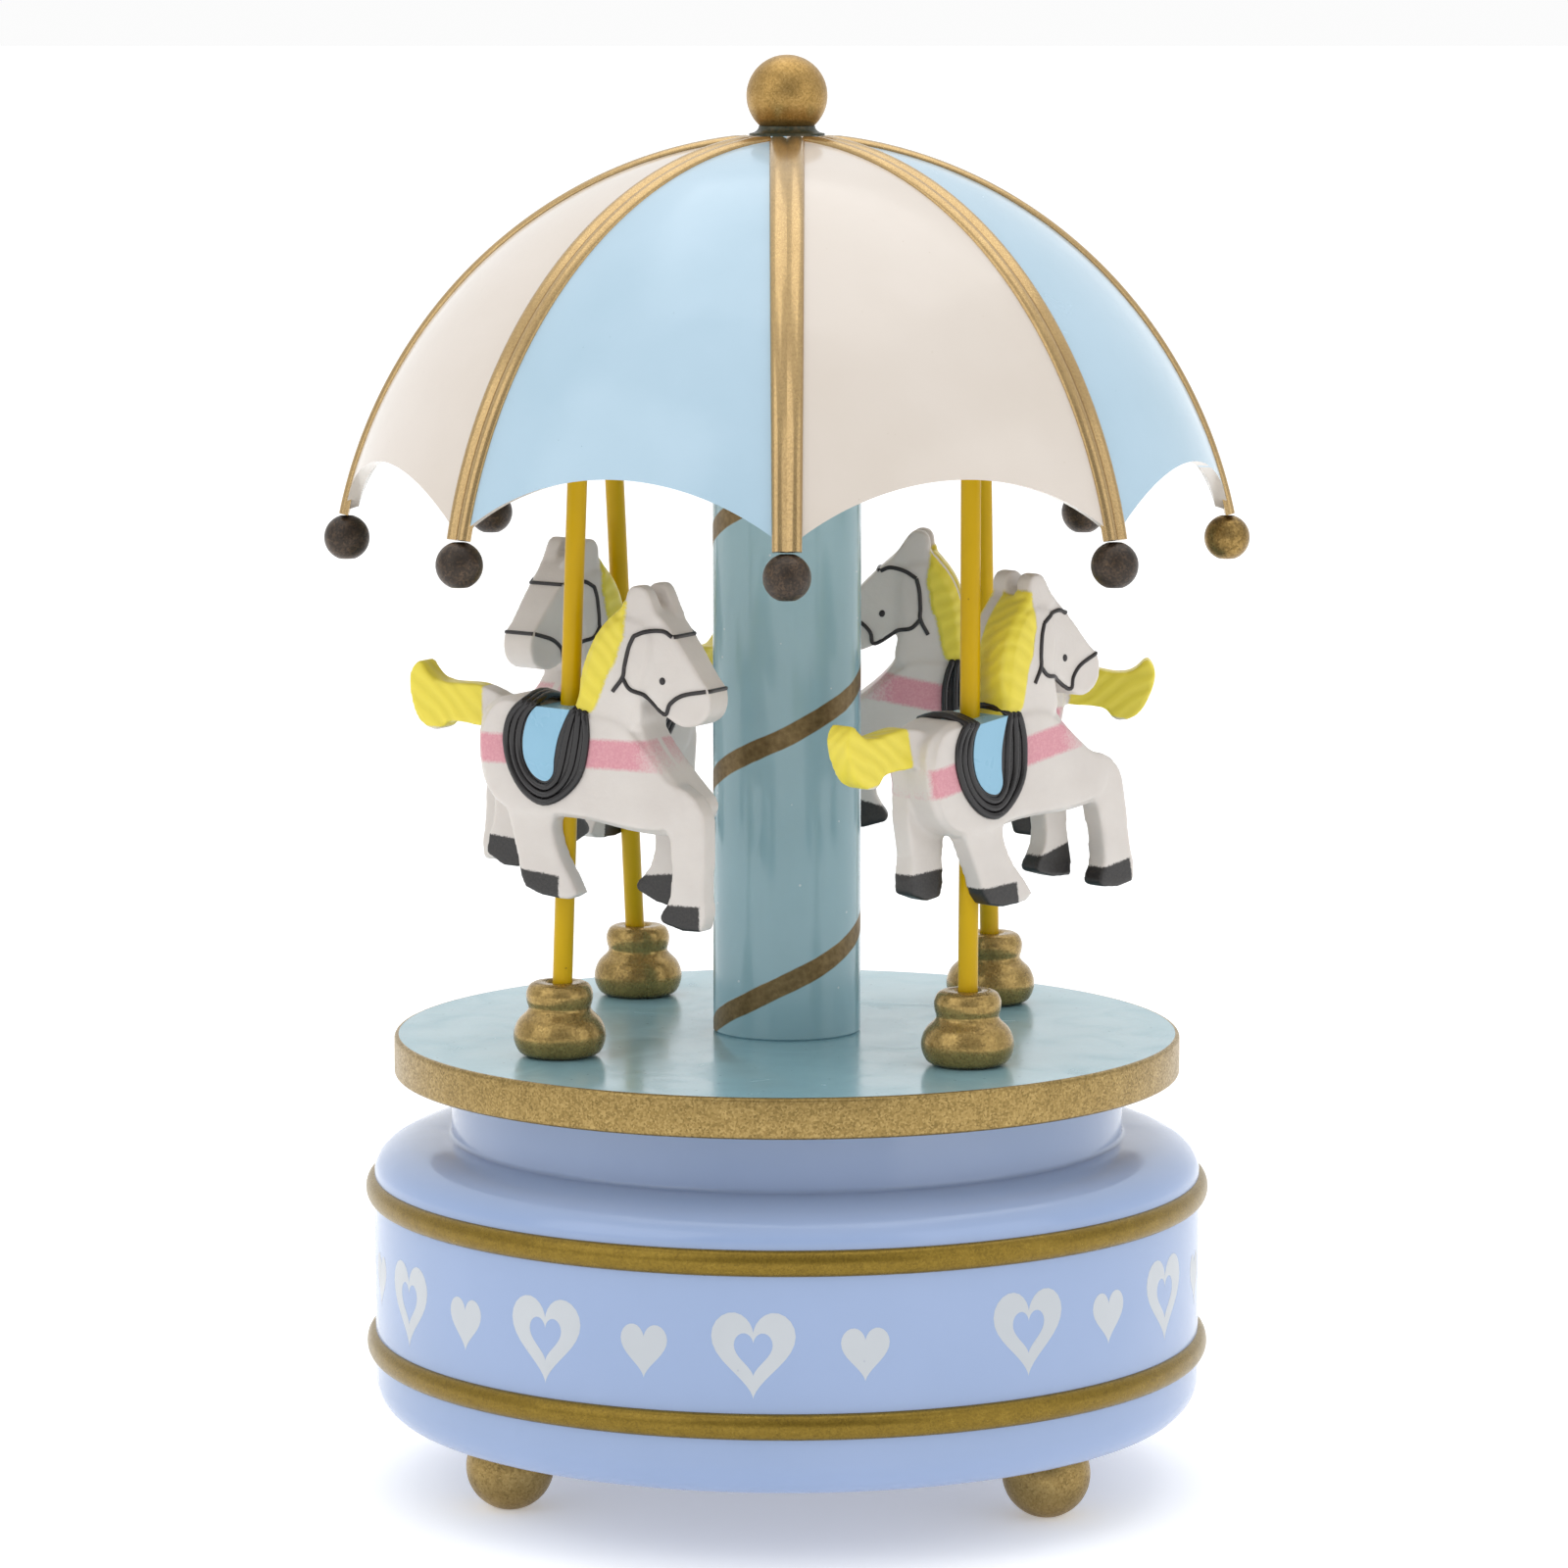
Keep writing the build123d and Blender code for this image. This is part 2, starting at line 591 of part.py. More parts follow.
def make_hub_plate():
    """Metal flange: its boss grips the end of the arbor."""
    plate = post(hub_plate_radius, turntable_bottom, turntable_bottom + hub_plate_thickness)
    plate += post(hub_boss_radius, turntable_bottom, hub_top)
    plate -= post(arbor_radius, turntable_bottom - 1, hub_top - arbor_end_gap)
    plate = cut_posts(plate, small_screw["head"], turntable_bottom - 1,
                      turntable_bottom + small_screw["head_height"], hub_screw_places)
    return cut_posts(plate, small_screw["shank"], turntable_bottom, hub_top, hub_screw_places)


def make_column():
    return post(column_radius, turntable_top, column_top) \
        - post(column_radius - column_wall, turntable_top - 1, column_top + 1)


def make_column_foot_plug():
    """Plug inside the foot of the column with a spigot in the turntable's hole."""
    return post(column_radius - column_wall, turntable_top, turntable_top + foot_plug_height) \
        + post(hub_boss_radius, hub_top, turntable_top)


def make_column_head_plug():
    plug = post(column_radius - column_wall, column_top - head_plug_height, column_top)
    return plug - post(finial_pin_radius, column_top - head_plug_height / 2, column_top)


# ---------------------------------------------------------------- canopy

def dome(radius, rise, low):
    """Solid cap of an upright ellipsoid above a level."""
    start = degrees(asin((low - canopy_centre) / rise))
    rim = (radius * cos(radians(start)), low)
    arc = EllipticalCenterArc((0, canopy_centre), radius, rise, start_angle=start, arc_size=90 - start)
    face = make_face(Wire([Line((0, low), rim), arc, Line((0, canopy_centre + rise), (0, low))]))
    return revolve(Plane.XZ * face, Axis.Z)


def make_canopy():
    """Umbrella of curved panels with scalloped edges and raised ribs, moulded in one."""
    inner = dome(canopy_inner_radius, canopy_inner_rise, rim_level)
    shell = dome(canopy_radius - rib_proud, canopy_rise - rib_proud, rim_level)
    blade = make_face(Polyline((0, -rib_width_top / 2), (canopy_radius + 2, -rib_width_rim / 2),
                               (canopy_radius + 2, rib_width_rim / 2), (0, rib_width_top / 2), close=True))
    rib_slab = Pos(0, 0, rim_level) * extrude(blade, canopy_rise)
    rib_cap = dome(canopy_radius, canopy_rise, rim_level)
    for number in range(panel_count // 2):
        pair = Rot(0, 0, 360 * number / panel_count) * (rib_slab + Rot(0, 0, 180) * rib_slab)
        shell += rib_cap & pair
    shell -= inner
    half_span = rim_radius * sin(pi / panel_count)
    scallop_radius = (half_span ** 2 + scallop_rise ** 2) / (2 * scallop_rise)
    scallop_level = rim_level + scallop_rise - scallop_radius
    for number in range(panel_count):
        azimuth = 360 * (number + 0.5) / panel_count
        shell -= rod(scallop_radius, Vector(0, 0, scallop_level),
                     polar(canopy_radius + 5, azimuth, scallop_level))
    seat = post(column_radius + crown_boss_lip, column_top, canopy_top - 1)
    shell += seat & dome(canopy_inner_radius + 0.7, canopy_inner_rise + 0.7, rim_level)
    shell += post(crown_radius, column_top, canopy_top)
    shell = shell & post(canopy_radius + 5, 0, canopy_top)
    for index, point in enumerate(socket_points):
        socket = post(socket_radius, socket_top - socket_length, canopy_top, point.X, point.Y)
        shell += socket & dome(canopy_inner_radius + 0.7, canopy_inner_rise + 0.7, rim_level)
        shell -= rod(pole_radius, pole_point(index, socket_top - socket_length - 1),
                     pole_point(index, socket_top - pole_end_gap))
    for number in range(panel_count):
        spot = polar(bead_ring_radius, 360 * number / panel_count)
        shell += post(peg_radius, peg_top - peg_length, peg_top, spot.X, spot.Y)
    return shell - post(finial_pin_radius, column_top - 1, canopy_top + 1)


def make_rim_bead():
    """Wooden bead, a little flattened at its poles, drilled for the peg."""
    bead = Pos(0, 0, bead_level) * Sphere(bead_radius)
    bead = bead & post(bead_radius, bead_level - 0.95 * bead_radius, bead_level + bead_radius)
    return bead - post(peg_radius, peg_top - peg_length, bead_level + bead_radius)


def make_finial_collar():
    collar = turned((0, canopy_top), (collar_foot_radius, canopy_top),
                    (collar_foot_radius - 0.2, canopy_top + 0.35), (collar_top_radius, collar_top),
                    (0, collar_top))
    return collar - post(finial_pin_radius, canopy_top - 1, collar_top + 1)


def make_finial_ball():
    ball = Pos(0, 0, finial_centre) * Sphere(finial_radius)
    ball = ball & post(finial_radius, collar_top, overall_height)
    return ball - post(finial_pin_radius, collar_top, finial_centre)


def make_finial_pin():
    return post(finial_pin_radius, column_top - head_plug_height / 2, finial_centre)


# ---------------------------------------------------------------- poles, cups and horses

def make_pole(index):
    return rod(pole_radius, pole_point(index, turntable_top - pole_depth),
               pole_point(index, socket_top - pole_end_gap))


def make_pole_cup(index):
    """Turned double bead that hides the foot of a pole."""
    height = cup_height
    waist = 0.63 * height
    belly = ThreePointArc((cup_foot_radius, 0), (cup_belly_radius, 0.32 * height),
                          (cup_waist_radius, waist))
    bead = ThreePointArc((cup_waist_radius, waist), (cup_lip_radius, 0.80 * height),
                         (cup_top_radius, height))
    face = make_face(Wire([belly, bead, Line((cup_top_radius, height), (0, height)),
                           Line((0, height), (0, 0)), Line((0, 0), (cup_foot_radius, 0))]))
    cup = Pos(*cup_points[index]) * revolve(Plane.XZ * face, Axis.Z)
    return cup - rod(pole_radius, pole_point(index, turntable_top - 1),
                     pole_point(index, turntable_top + height + 1))


# side view, nose towards +X, the pole entering the saddle at the origin
horse_reach = 30.0            # nothing of a horse is farther than this from its saddle
horse_body = ((-8.5, 1.5), (-5.0, 1.8), (-2.0, -0.3), (1.6, -0.4), (3.2, 1.4), (3.8, 5.4), (5.8, 9.8),
              (9.0, 13.2), (11.2, 15.2), (13.2, 13.0), (17.0, 9.4), (20.4, 4.8), (21.8, 2.0),
              (20.4, -0.9), (17.2, -1.5), (14.4, 0.6), (12.4, 2.4), (12.0, -1.2), (13.8, -4.4),
              (17.6, -8.8), (20.4, -12.2), (18.8, -15.0), (12.0, -15.0), (4.0, -13.8), (-2.0, -13.6),
              (-7.0, -13.2), (-10.6, -10.4), (-11.7, -5.6), (-11.0, -0.8))
horse_tail = ((-8.4, 0.8), (-12.4, 2.6), (-17.4, 3.0), (-21.0, 5.6), (-22.8, 2.8), (-21.9, -1.8),
              (-18.8, -3.8), (-15.2, -2.6), (-11.0, -3.0))
horse_saddle = ((-3.6, 1.7), (-7.2, -2.6), (-6.4, -8.0), (-1.6, -12.0), (3.6, -9.2), (5.2, -4.4),
                (4.4, 0.5))
near_legs = (((14.9, -12.0), (20.8, -12.0), (21.4, -22.0), (21.0, -27.2), (14.4, -26.2), (15.3, -23.0)),
             ((-6.8, -11.5), (-0.6, -12.0), (-0.2, -17.0), (2.9, -23.6), (0.0, -24.1), (-4.6, -22.8),
              (-5.6, -19.0)))
far_legs = (((10.6, -13.0), (16.4, -13.0), (15.4, -20.0), (15.2, -25.0), (9.0, -23.0), (10.6, -20.0)),
            ((-11.4, -7.0), (-6.6, -12.0), (-7.2, -16.5), (-8.2, -21.2), (-13.0, -19.6), (-12.0, -15.0)))


def side_plate(points, y_low, y_high, curved=True):
    """Side-view outline given a thickness between two distances from the middle plane."""
    edge = Spline(*points, periodic=True) if curved else Polyline(*points, close=True)
    face = make_face(edge)
    plane = Plane(origin=(0, y_high, 0), x_dir=(1, 0, 0), z_dir=(0, -1, 0))
    return plane * extrude(face, y_high - y_low)


def make_horse(index):
    """Moulded galloping horse glued to its pole."""
    half = horse_thickness / 2
    horse = side_plate(horse_body, -half, half)
    horse += side_plate(horse_tail, -tail_thickness / 2, tail_thickness / 2)
    horse += side_plate(horse_saddle, -half - saddle_proud, half + saddle_proud)
    for legs, side in ((near_legs, -1), (far_legs, 1)):
        for leg in legs:
            inner, outer = side * leg_splay, side * (leg_splay + leg_thickness)
            horse += side_plate(leg, min(inner, outer), max(inner, outer), curved=False)
    level = turntable_top + saddle_shares[index] * clear_opening
    turn = Rot(0, 0, horse_headings[index]) * Rot(0, -horse_pitches[index], 0)
    horse = Pos(*pole_point(index, level)) * turn * scale(horse, horse_scale)
    reach = horse_reach * horse_scale
    return horse - rod(pole_radius, pole_point(index, level - reach), pole_point(index, level + reach))


# ---------------------------------------------------------------- all nodes

def make_all():
    nodes = {
        "base_shell": make_base_shell(),
        "bottom_cover": make_bottom_cover(),
        "cover_screws": placed(screw(cover_screw, base_underside + cover_screw["head_height"],
                                     cover_thickness + thread_engagement - 2.0), cover_screw_places),
        "foot_screws": placed(screw(small_screw, cover_top, cover_thickness + thread_engagement - 1.0,
                                    up=False), foot_places),
        "neck_bush": make_neck_bush(),
        "movement_bedplate": make_bedplate(),
        "movement_screws": placed(screw(small_screw, bedplate_bottom, bedplate_thickness + 3.5),
                                  standoff_places),
        "spring_housing": make_spring_housing(),
        "housing_screws": placed(screw(small_screw, bedplate_top + housing_wall, 2.8, up=False),
                                 housing_screw_places),
        "mainspring": make_mainspring(),
        "comb": make_comb(),
        "comb_screws": placed(screw(small_screw, shaft_level - comb_thickness / 2, comb_thickness + 3.5),
                              comb_screw_places),
        "governor_bracket": make_governor_bracket(),
        "bracket_screws": placed(screw(small_screw, bedplate_bottom - bracket_thickness,
                                       bracket_thickness + 2.2), bracket_screw_places),
        "winding_arbor": make_winding_arbor(),
        "drive_wheel": make_drive_wheel(),
        "hub_plate": make_hub_plate(),
        "hub_screws": placed(screw(small_screw, turntable_bottom + small_screw["head_height"],
                                   hub_top - turntable_bottom - 1.2), hub_screw_places),
        "turntable": make_turntable(),
        "column": make_column(),
        "column_foot_plug": make_column_foot_plug(),
        "column_head_plug": make_column_head_plug(),
        "canopy": make_canopy(),
        "finial_collar": make_finial_collar(),
        "finial_ball": make_finial_ball(),
        "finial_pin": make_finial_pin(),
        "cylinder_shaft": make_cylinder_shaft(),
        "cylinder_pinion": make_cylinder_pinion(),
        "music_cylinder": make_music_cylinder(),
        "cylinder_gear": make_cylinder_gear(),
        "governor_shaft": make_governor_shaft(),
        "governor_pinion": make_governor_pinion(),
        "worm_wheel": make_worm_wheel(),
        "governor_worm": make_governor_worm(),
        "air_brake": make_air_brake(),
    }
    foot = make_foot()
    for name, (x, y) in zip(foot_azimuths, foot_places):
        nodes[name] = Pos(x, y, 0) * foot
    bead = make_rim_bead()
    for number in range(panel_count):
        spot = polar(bead_ring_radius, 360 * number / panel_count)
        nodes[f"rim_bead_{number + 1}"] = Pos(spot.X, spot.Y, 0) * bead
    for index in range(len(cup_azimuths)):
        nodes[f"pole_{index + 1}"] = make_pole(index)
        nodes[f"pole_cup_{index + 1}"] = make_pole_cup(index)
        nodes[f"horse_{index + 1}"] = make_horse(index)
    return nodes


os.makedirs("parts", exist_ok=True)
for name, shape in make_all().items():
    export_step(shape, f"parts/{name}.step")
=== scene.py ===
from math import asin, atan2, cos, degrees, hypot, pi, radians, sin, sqrt

import bpy
from mathutils import Matrix, Vector


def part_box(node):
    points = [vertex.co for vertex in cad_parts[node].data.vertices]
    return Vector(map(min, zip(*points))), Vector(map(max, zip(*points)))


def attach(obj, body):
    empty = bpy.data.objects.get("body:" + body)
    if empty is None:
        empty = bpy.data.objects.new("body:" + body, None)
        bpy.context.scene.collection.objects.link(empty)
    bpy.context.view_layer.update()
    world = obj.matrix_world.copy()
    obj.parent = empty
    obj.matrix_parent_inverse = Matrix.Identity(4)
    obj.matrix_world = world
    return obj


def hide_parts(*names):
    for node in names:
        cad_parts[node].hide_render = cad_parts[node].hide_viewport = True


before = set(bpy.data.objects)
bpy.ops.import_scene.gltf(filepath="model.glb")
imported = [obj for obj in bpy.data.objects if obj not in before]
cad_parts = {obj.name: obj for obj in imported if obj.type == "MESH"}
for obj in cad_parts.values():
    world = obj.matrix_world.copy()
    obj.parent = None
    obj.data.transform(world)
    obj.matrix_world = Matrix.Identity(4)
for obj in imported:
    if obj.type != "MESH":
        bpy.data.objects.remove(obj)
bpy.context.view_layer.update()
print("stage: frame loaded,", len(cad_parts), "nodes")

# Sizes in this script are millimetres and azimuths are degrees from the front, growing
# towards +X.  Blender itself works in metres, so every length passes through mm.
mm = 0.001


def boxOf(node):
    low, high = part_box(node)
    return Vector(low) / mm, Vector(high) / mm


def polar(radius, azimuth, level=0.0):
    return Vector((radius * sin(radians(azimuth)), -radius * cos(radians(azimuth)), level))


def ellipseArc(centre, radii, start, end, steps):
    # points of an arc in (radius, level), angles in degrees from outwards
    points = []
    for step in range(steps + 1):
        turn = radians(start + (end - start) * step / steps)
        points.append((centre[0] + radii[0] * cos(turn), centre[1] + radii[1] * sin(turn)))
    return points


def smoothLoop(points, steps):
    # a closed curve through the points of an outline
    count, curve = len(points), []
    for index in range(count):
        before, here, after, beyond = (Vector(points[(index + k) % count]) for k in (-1, 0, 1, 2))
        for step in range(steps):
            t = step / steps
            curve.append(0.5 * (2 * here + (after - before) * t
                                + (2 * before - 5 * here + 4 * after - beyond) * t ** 2
                                + (3 * here - before - 3 * after + beyond) * t ** 3))
    return curve


def smoothPath(points, steps):
    # the same through an open row of points
    ends = [2 * Vector(points[0]) - Vector(points[1]), 2 * Vector(points[-1]) - Vector(points[-2])]
    row = [ends[0], *(Vector(point) for point in points), ends[1]]
    curve = []
    for index in range(1, len(row) - 2):
        before, here, after, beyond = row[index - 1:index + 3]
        for step in range(steps):
            t = step / steps
            curve.append(0.5 * (2 * here + (after - before) * t
                                + (2 * before - 5 * here + 4 * after - beyond) * t ** 2
                                + (3 * here - before - 3 * after + beyond) * t ** 3))
    return curve + [row[-2]]


def deselectAll():
    if bpy.context.mode != "OBJECT":
        bpy.ops.object.mode_set(mode="OBJECT")
    bpy.ops.object.select_all(action="DESELECT")


def pick(*pieces):
    deselectAll()
    for piece in pieces:
        piece.select_set(True)
    bpy.context.view_layer.objects.active = pieces[0]


def drawChain(name, points):
    # edges drawn from point to point by extruding one vertex; stays in edit mode
    deselectAll()
    bpy.ops.mesh.primitive_plane_add(size=1 * mm)
    piece = bpy.context.object
    piece.name = piece.data.name = name
    bpy.ops.object.mode_set(mode="EDIT")
    bpy.ops.mesh.merge(type="CENTER")
    at = Vector(points[0])
    bpy.ops.transform.translate(value=at * mm)
    for point in points[1:]:
        step = (Vector(point) - at) * mm
        bpy.ops.mesh.extrude_vertices_move(TRANSFORM_OT_translate={"value": step})
        at = Vector(point)
    bpy.ops.mesh.select_all(action="SELECT")
    return piece


def closeUp(piece, smoothAngle=35, outward=True):
    # merges doubles, turns faces outwards and shades the piece
    bpy.ops.mesh.select_all(action="SELECT")
    bpy.ops.mesh.remove_doubles(threshold=0.004 * mm)
    if outward:
        bpy.ops.mesh.normals_make_consistent(inside=False)
    bpy.ops.object.mode_set(mode="OBJECT")
    pick(piece)
    bpy.ops.object.shade_smooth_by_angle(angle=radians(smoothAngle))
    return piece


def turnPiece(name, profile, steps=96, at=(0, 0), smoothAngle=35):
    # turned as on a lathe from a side profile of (radius, level) points
    piece = drawChain(name, [(radius, 0, level) for radius, level in profile])
    bpy.ops.mesh.spin(steps=steps, angle=2 * pi, center=(0, 0, 0), axis=(0, 0, 1))
    bpy.ops.mesh.select_all(action="SELECT")
    bpy.ops.transform.translate(value=Vector((at[0], at[1], 0)) * mm)
    return closeUp(piece, smoothAngle)


def plate(name, outline, yLow, yHigh, curveSteps=4):
    # a side-view outline given a thickness along Y
    points = smoothLoop(outline, curveSteps) if curveSteps > 1 else outline
    piece = drawChain(name, [(x, yLow, z) for x, z in points])
    bpy.ops.mesh.edge_face_add()
    bpy.ops.mesh.extrude_region_move(TRANSFORM_OT_translate={"value": (0, (yHigh - yLow) * mm, 0)})
    return closeUp(piece)


def tube(name, points, radius, closed=False, sides=3):
    # a round bead laid along points
    points = list(points) + ([points[0]] if closed else [])
    piece = drawChain(name, points)
    bpy.ops.mesh.remove_doubles(threshold=0.001 * mm)
    pick(piece)
    bpy.ops.object.convert(target="CURVE")
    line = bpy.context.object
    line.data.bevel_depth = radius * mm
    line.data.bevel_resolution = sides
    line.data.use_fill_caps = not closed
    bpy.ops.object.convert(target="MESH")
    piece = bpy.context.object
    bpy.ops.object.mode_set(mode="EDIT")
    return closeUp(piece, 60)


def joinAll(name, pieces):
    pick(*pieces)
    bpy.ops.object.join()
    piece = bpy.context.object
    piece.name = piece.data.name = name
    return piece


def useModifier(piece, kind, **settings):
    pick(piece)
    bpy.ops.object.modifier_add(type=kind)
    modifier = piece.modifiers[-1]
    for setting, value in settings.items():
        setattr(modifier, setting, value)
    bpy.ops.object.modifier_apply(modifier=modifier.name)


def copyPiece(piece, name, matrix):
    # a copy with its own mesh, its place worked into the mesh
    pick(piece)
    bpy.ops.object.duplicate()
    copy = bpy.context.object
    copy.name = copy.data.name = name
    copy.matrix_world = matrix
    bpy.ops.object.transform_apply(location=True, rotation=True, scale=True)
    return copy


def remove(*pieces):
    pick(*pieces)
    bpy.ops.object.delete()


def finish(piece, body, slot, *materials):
    piece.data.materials.clear()
    for material in materials:
        piece.data.materials.append(material)
    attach(piece, body)
    return piece


def paintWhere(piece, slotNumber, test):
    # gives a material slot to the faces whose centre passes a test, in millimetres
    for face in piece.data.polygons:
        if test(face.center / mm, face.normal):
            face.material_index = slotNumber


def linear(hexColour):
    channels = [int(hexColour[i:i + 2], 16) / 255 for i in (1, 3, 5)]
    return tuple(c / 12.92 if c <= 0.04045 else ((c + 0.055) / 1.055) ** 2.4 for c in channels) + (1.0,)


def perMm(size):
    # texture scale for a pattern whose features are this many millimetres apart
    return 1 / (size * mm)


def newMaterial(name):
    material = bpy.data.materials.new(name)
    material.use_nodes = True
    material.node_tree.nodes.clear()
    return material


def addNode(material, kind, inputs=None, stops=None, **settings):
    # one node with its settings, its ramp stops and what feeds its sockets
    node = material.node_tree.nodes.new("ShaderNode" + kind)
    for setting, value in settings.items():
        setattr(node, setting, value)
    if stops:
        elements = node.color_ramp.elements
        while len(elements) < len(stops):
            elements.new(0.5)
        for element, (position, colour) in zip(elements, stops):
            element.position = position
            element.color = linear(colour) if isinstance(colour, str) else (colour, colour, colour, 1)
    for socket, source in (inputs or {}).items():
        if isinstance(source, bpy.types.NodeSocket):
            material.node_tree.links.new(source, node.inputs[socket])
        else:
            node.inputs[socket].default_value = source
    return node


def finishMaterial(material, inputs):
    shader = addNode(material, "BsdfPrincipled", inputs)
    addNode(material, "OutputMaterial", {"Surface": shader.outputs["BSDF"]})
    return material


# injection-moulded ABS, self-coloured and polished by the mould: a deep even gloss, with
# faint flow clouding, handling smears in the gloss and an orange peel of about 1.5 mm
def mouldedAbs(name, light, dark, roughness=(0.10, 0.24), partingAzimuth=None):
    material = newMaterial(name)
    place = addNode(material, "TexCoord").outputs["Object"]
    flow = addNode(material, "TexNoise", {"Vector": place, "Scale": perMm(38), "Detail": 4})
    colour = addNode(material, "ValToRGB", {"Fac": flow.outputs["Fac"]}, stops=[(0.3, dark), (0.7, light)])
    smear = addNode(material, "TexNoise", {"Vector": place, "Scale": perMm(14), "Detail": 6,
                                           "Distortion": 1.5})
    gloss = addNode(material, "MapRange", {"Value": smear.outputs["Fac"], "From Min": 0.35,
                                           "From Max": 0.75, "To Min": roughness[0],
                                           "To Max": roughness[1]})
    peel = addNode(material, "TexNoise", {"Vector": place, "Scale": perMm(1.5), "Detail": 2})
    height = peel.outputs["Fac"]
    if partingAzimuth is not None:
        # the witness line of the split mould runs up the wall
        spot = addNode(material, "SeparateXYZ", {"Vector": place})
        angle = addNode(material, "Math", {0: spot.outputs["X"], 1: spot.outputs["Y"]}, operation="ARCTAN2")
        gap = addNode(material, "Math", {0: angle.outputs[0], 1: radians(180 - partingAzimuth),
                                         2: 0.0012}, operation="COMPARE")
        raised = addNode(material, "Math", {0: gap.outputs[0], 1: 1.5, 2: height}, operation="MULTIPLY_ADD")
        height = raised.outputs[0]
    bump = addNode(material, "Bump", {"Height": height, "Strength": 0.25, "Distance": 0.02 * mm})
    return finishMaterial(material, {"Base Color": colour.outputs["Color"],
                                     "Roughness": gloss.outputs["Result"], "IOR": 1.53,
                                     "Normal": bump.outputs["Normal"]})


# bronze-powder paint: metal flakes in a clear binder, so it glitters in specks of about a
# quarter of a millimetre; blotch says how unevenly the coat was laid
def bronzePaint(name, light, mid, dark, roughness=(0.26, 0.5), flake=0.28, blotch=0.25, metallic=0.9,
                drawn=(1.0, 1.0, 1.0), grain=0.07):
    material = newMaterial(name)
    place = addNode(material, "TexCoord").outputs["Object"]
    cells = addNode(material, "TexVoronoi", {"Vector": place, "Scale": perMm(flake), "Randomness": 1.0})
    grey = addNode(material, "RGBToBW", {"Color": cells.outputs["Color"]})
    strokes = addNode(material, "Mapping", {"Vector": place, "Scale": drawn})
    coat = addNode(material, "TexNoise", {"Vector": strokes.outputs["Vector"], "Scale": perMm(2.6),
                                          "Detail": 7, "Roughness": 0.65})
    uneven = addNode(material, "MapRange", {"Value": coat.outputs["Fac"], "From Min": 0.25,
                                            "From Max": 0.75, "To Min": 0.33 - blotch,
                                            "To Max": 0.33 + blotch})
    mixed = addNode(material, "Math", {0: grey.outputs["Val"], 1: 0.34, 2: uneven.outputs["Result"]},
                    operation="MULTIPLY_ADD")
    colour = addNode(material, "ValToRGB", {"Fac": mixed.outputs[0]},
                     stops=[(0.2, dark), (0.48, mid), (0.8, light)])
    gloss = addNode(material, "MapRange", {"Value": mixed.outputs[0], "From Min": 0.2, "From Max": 0.8,
                                           "To Min": roughness[1], "To Max": roughness[0]})
    bump = addNode(material, "Bump", {"Height": mixed.outputs[0], "Strength": 0.6, "Distance": grain * mm})
    return finishMaterial(material, {"Base Color": colour.outputs["Color"], "Metallic": metallic,
                                     "Roughness": gloss.outputs["Result"],
                                     "Normal": bump.outputs["Normal"]})


# sprayed lacquer on wood or plastic: smooth and glossy, with dust specks caught under the
# coat and broad gentle clouding
def sprayedLacquer(name, light, dark, speck, roughness=(0.12, 0.3), specks=0.055, gloss=0.5):
    material = newMaterial(name)
    place = addNode(material, "TexCoord").outputs["Object"]
    cloud = addNode(material, "TexNoise", {"Vector": place, "Scale": perMm(24), "Detail": 5})
    colour = addNode(material, "ValToRGB", {"Fac": cloud.outputs["Fac"]},
                     stops=[(0.3, dark), (0.72, light)])
    dust = addNode(material, "TexVoronoi", {"Vector": place, "Scale": perMm(2.4)})
    dots = addNode(material, "Math", {0: dust.outputs["Distance"], 1: specks}, operation="LESS_THAN")
    speckled = addNode(material, "MixRGB", {"Fac": dots.outputs[0], "Color1": colour.outputs["Color"],
                                            "Color2": linear(speck)})
    smear = addNode(material, "TexNoise", {"Vector": place, "Scale": perMm(9), "Detail": 6,
                                           "Distortion": 1})
    sheen = addNode(material, "MapRange", {"Value": smear.outputs["Fac"], "From Min": 0.35,
                                           "From Max": 0.75, "To Min": roughness[0],
                                           "To Max": roughness[1]})
    peel = addNode(material, "TexNoise", {"Vector": place, "Scale": perMm(1.1), "Detail": 3})
    height = addNode(material, "Math", {0: dots.outputs[0], 1: 0.6, 2: peel.outputs["Fac"]},
                     operation="MULTIPLY_ADD")
    bump = addNode(material, "Bump", {"Height": height.outputs[0], "Strength": 0.3, "Distance": 0.03 * mm})
    return finishMaterial(material, {"Base Color": speckled.outputs["Color"],
                                     "Normal": bump.outputs["Normal"],
                                     "Roughness": sheen.outputs["Result"], "Specular IOR Level": gloss})


# bare birch: pale, straight grain a fifth of a millimetre to a millimetre apart
def bareBirch(name, light, dark):
    material = newMaterial(name)
    place = addNode(material, "TexCoord").outputs["Object"]
    stretched = addNode(material, "Mapping", {"Vector": place, "Scale": (0.12, 1.0, 1.0)})
    grain = addNode(material, "TexNoise", {"Vector": stretched.outputs["Vector"], "Scale": perMm(0.9),
                                           "Detail": 8, "Distortion": 0.4})
    colour = addNode(material, "ValToRGB", {"Fac": grain.outputs["Fac"]},
                     stops=[(0.35, dark), (0.65, light)])
    bump = addNode(material, "Bump", {"Height": grain.outputs["Fac"], "Strength": 0.3,
                                      "Distance": 0.05 * mm})
    return finishMaterial(material, {"Base Color": colour.outputs["Color"], "Roughness": 0.6, "IOR": 1.5,
                                     "Normal": bump.outputs["Normal"]})


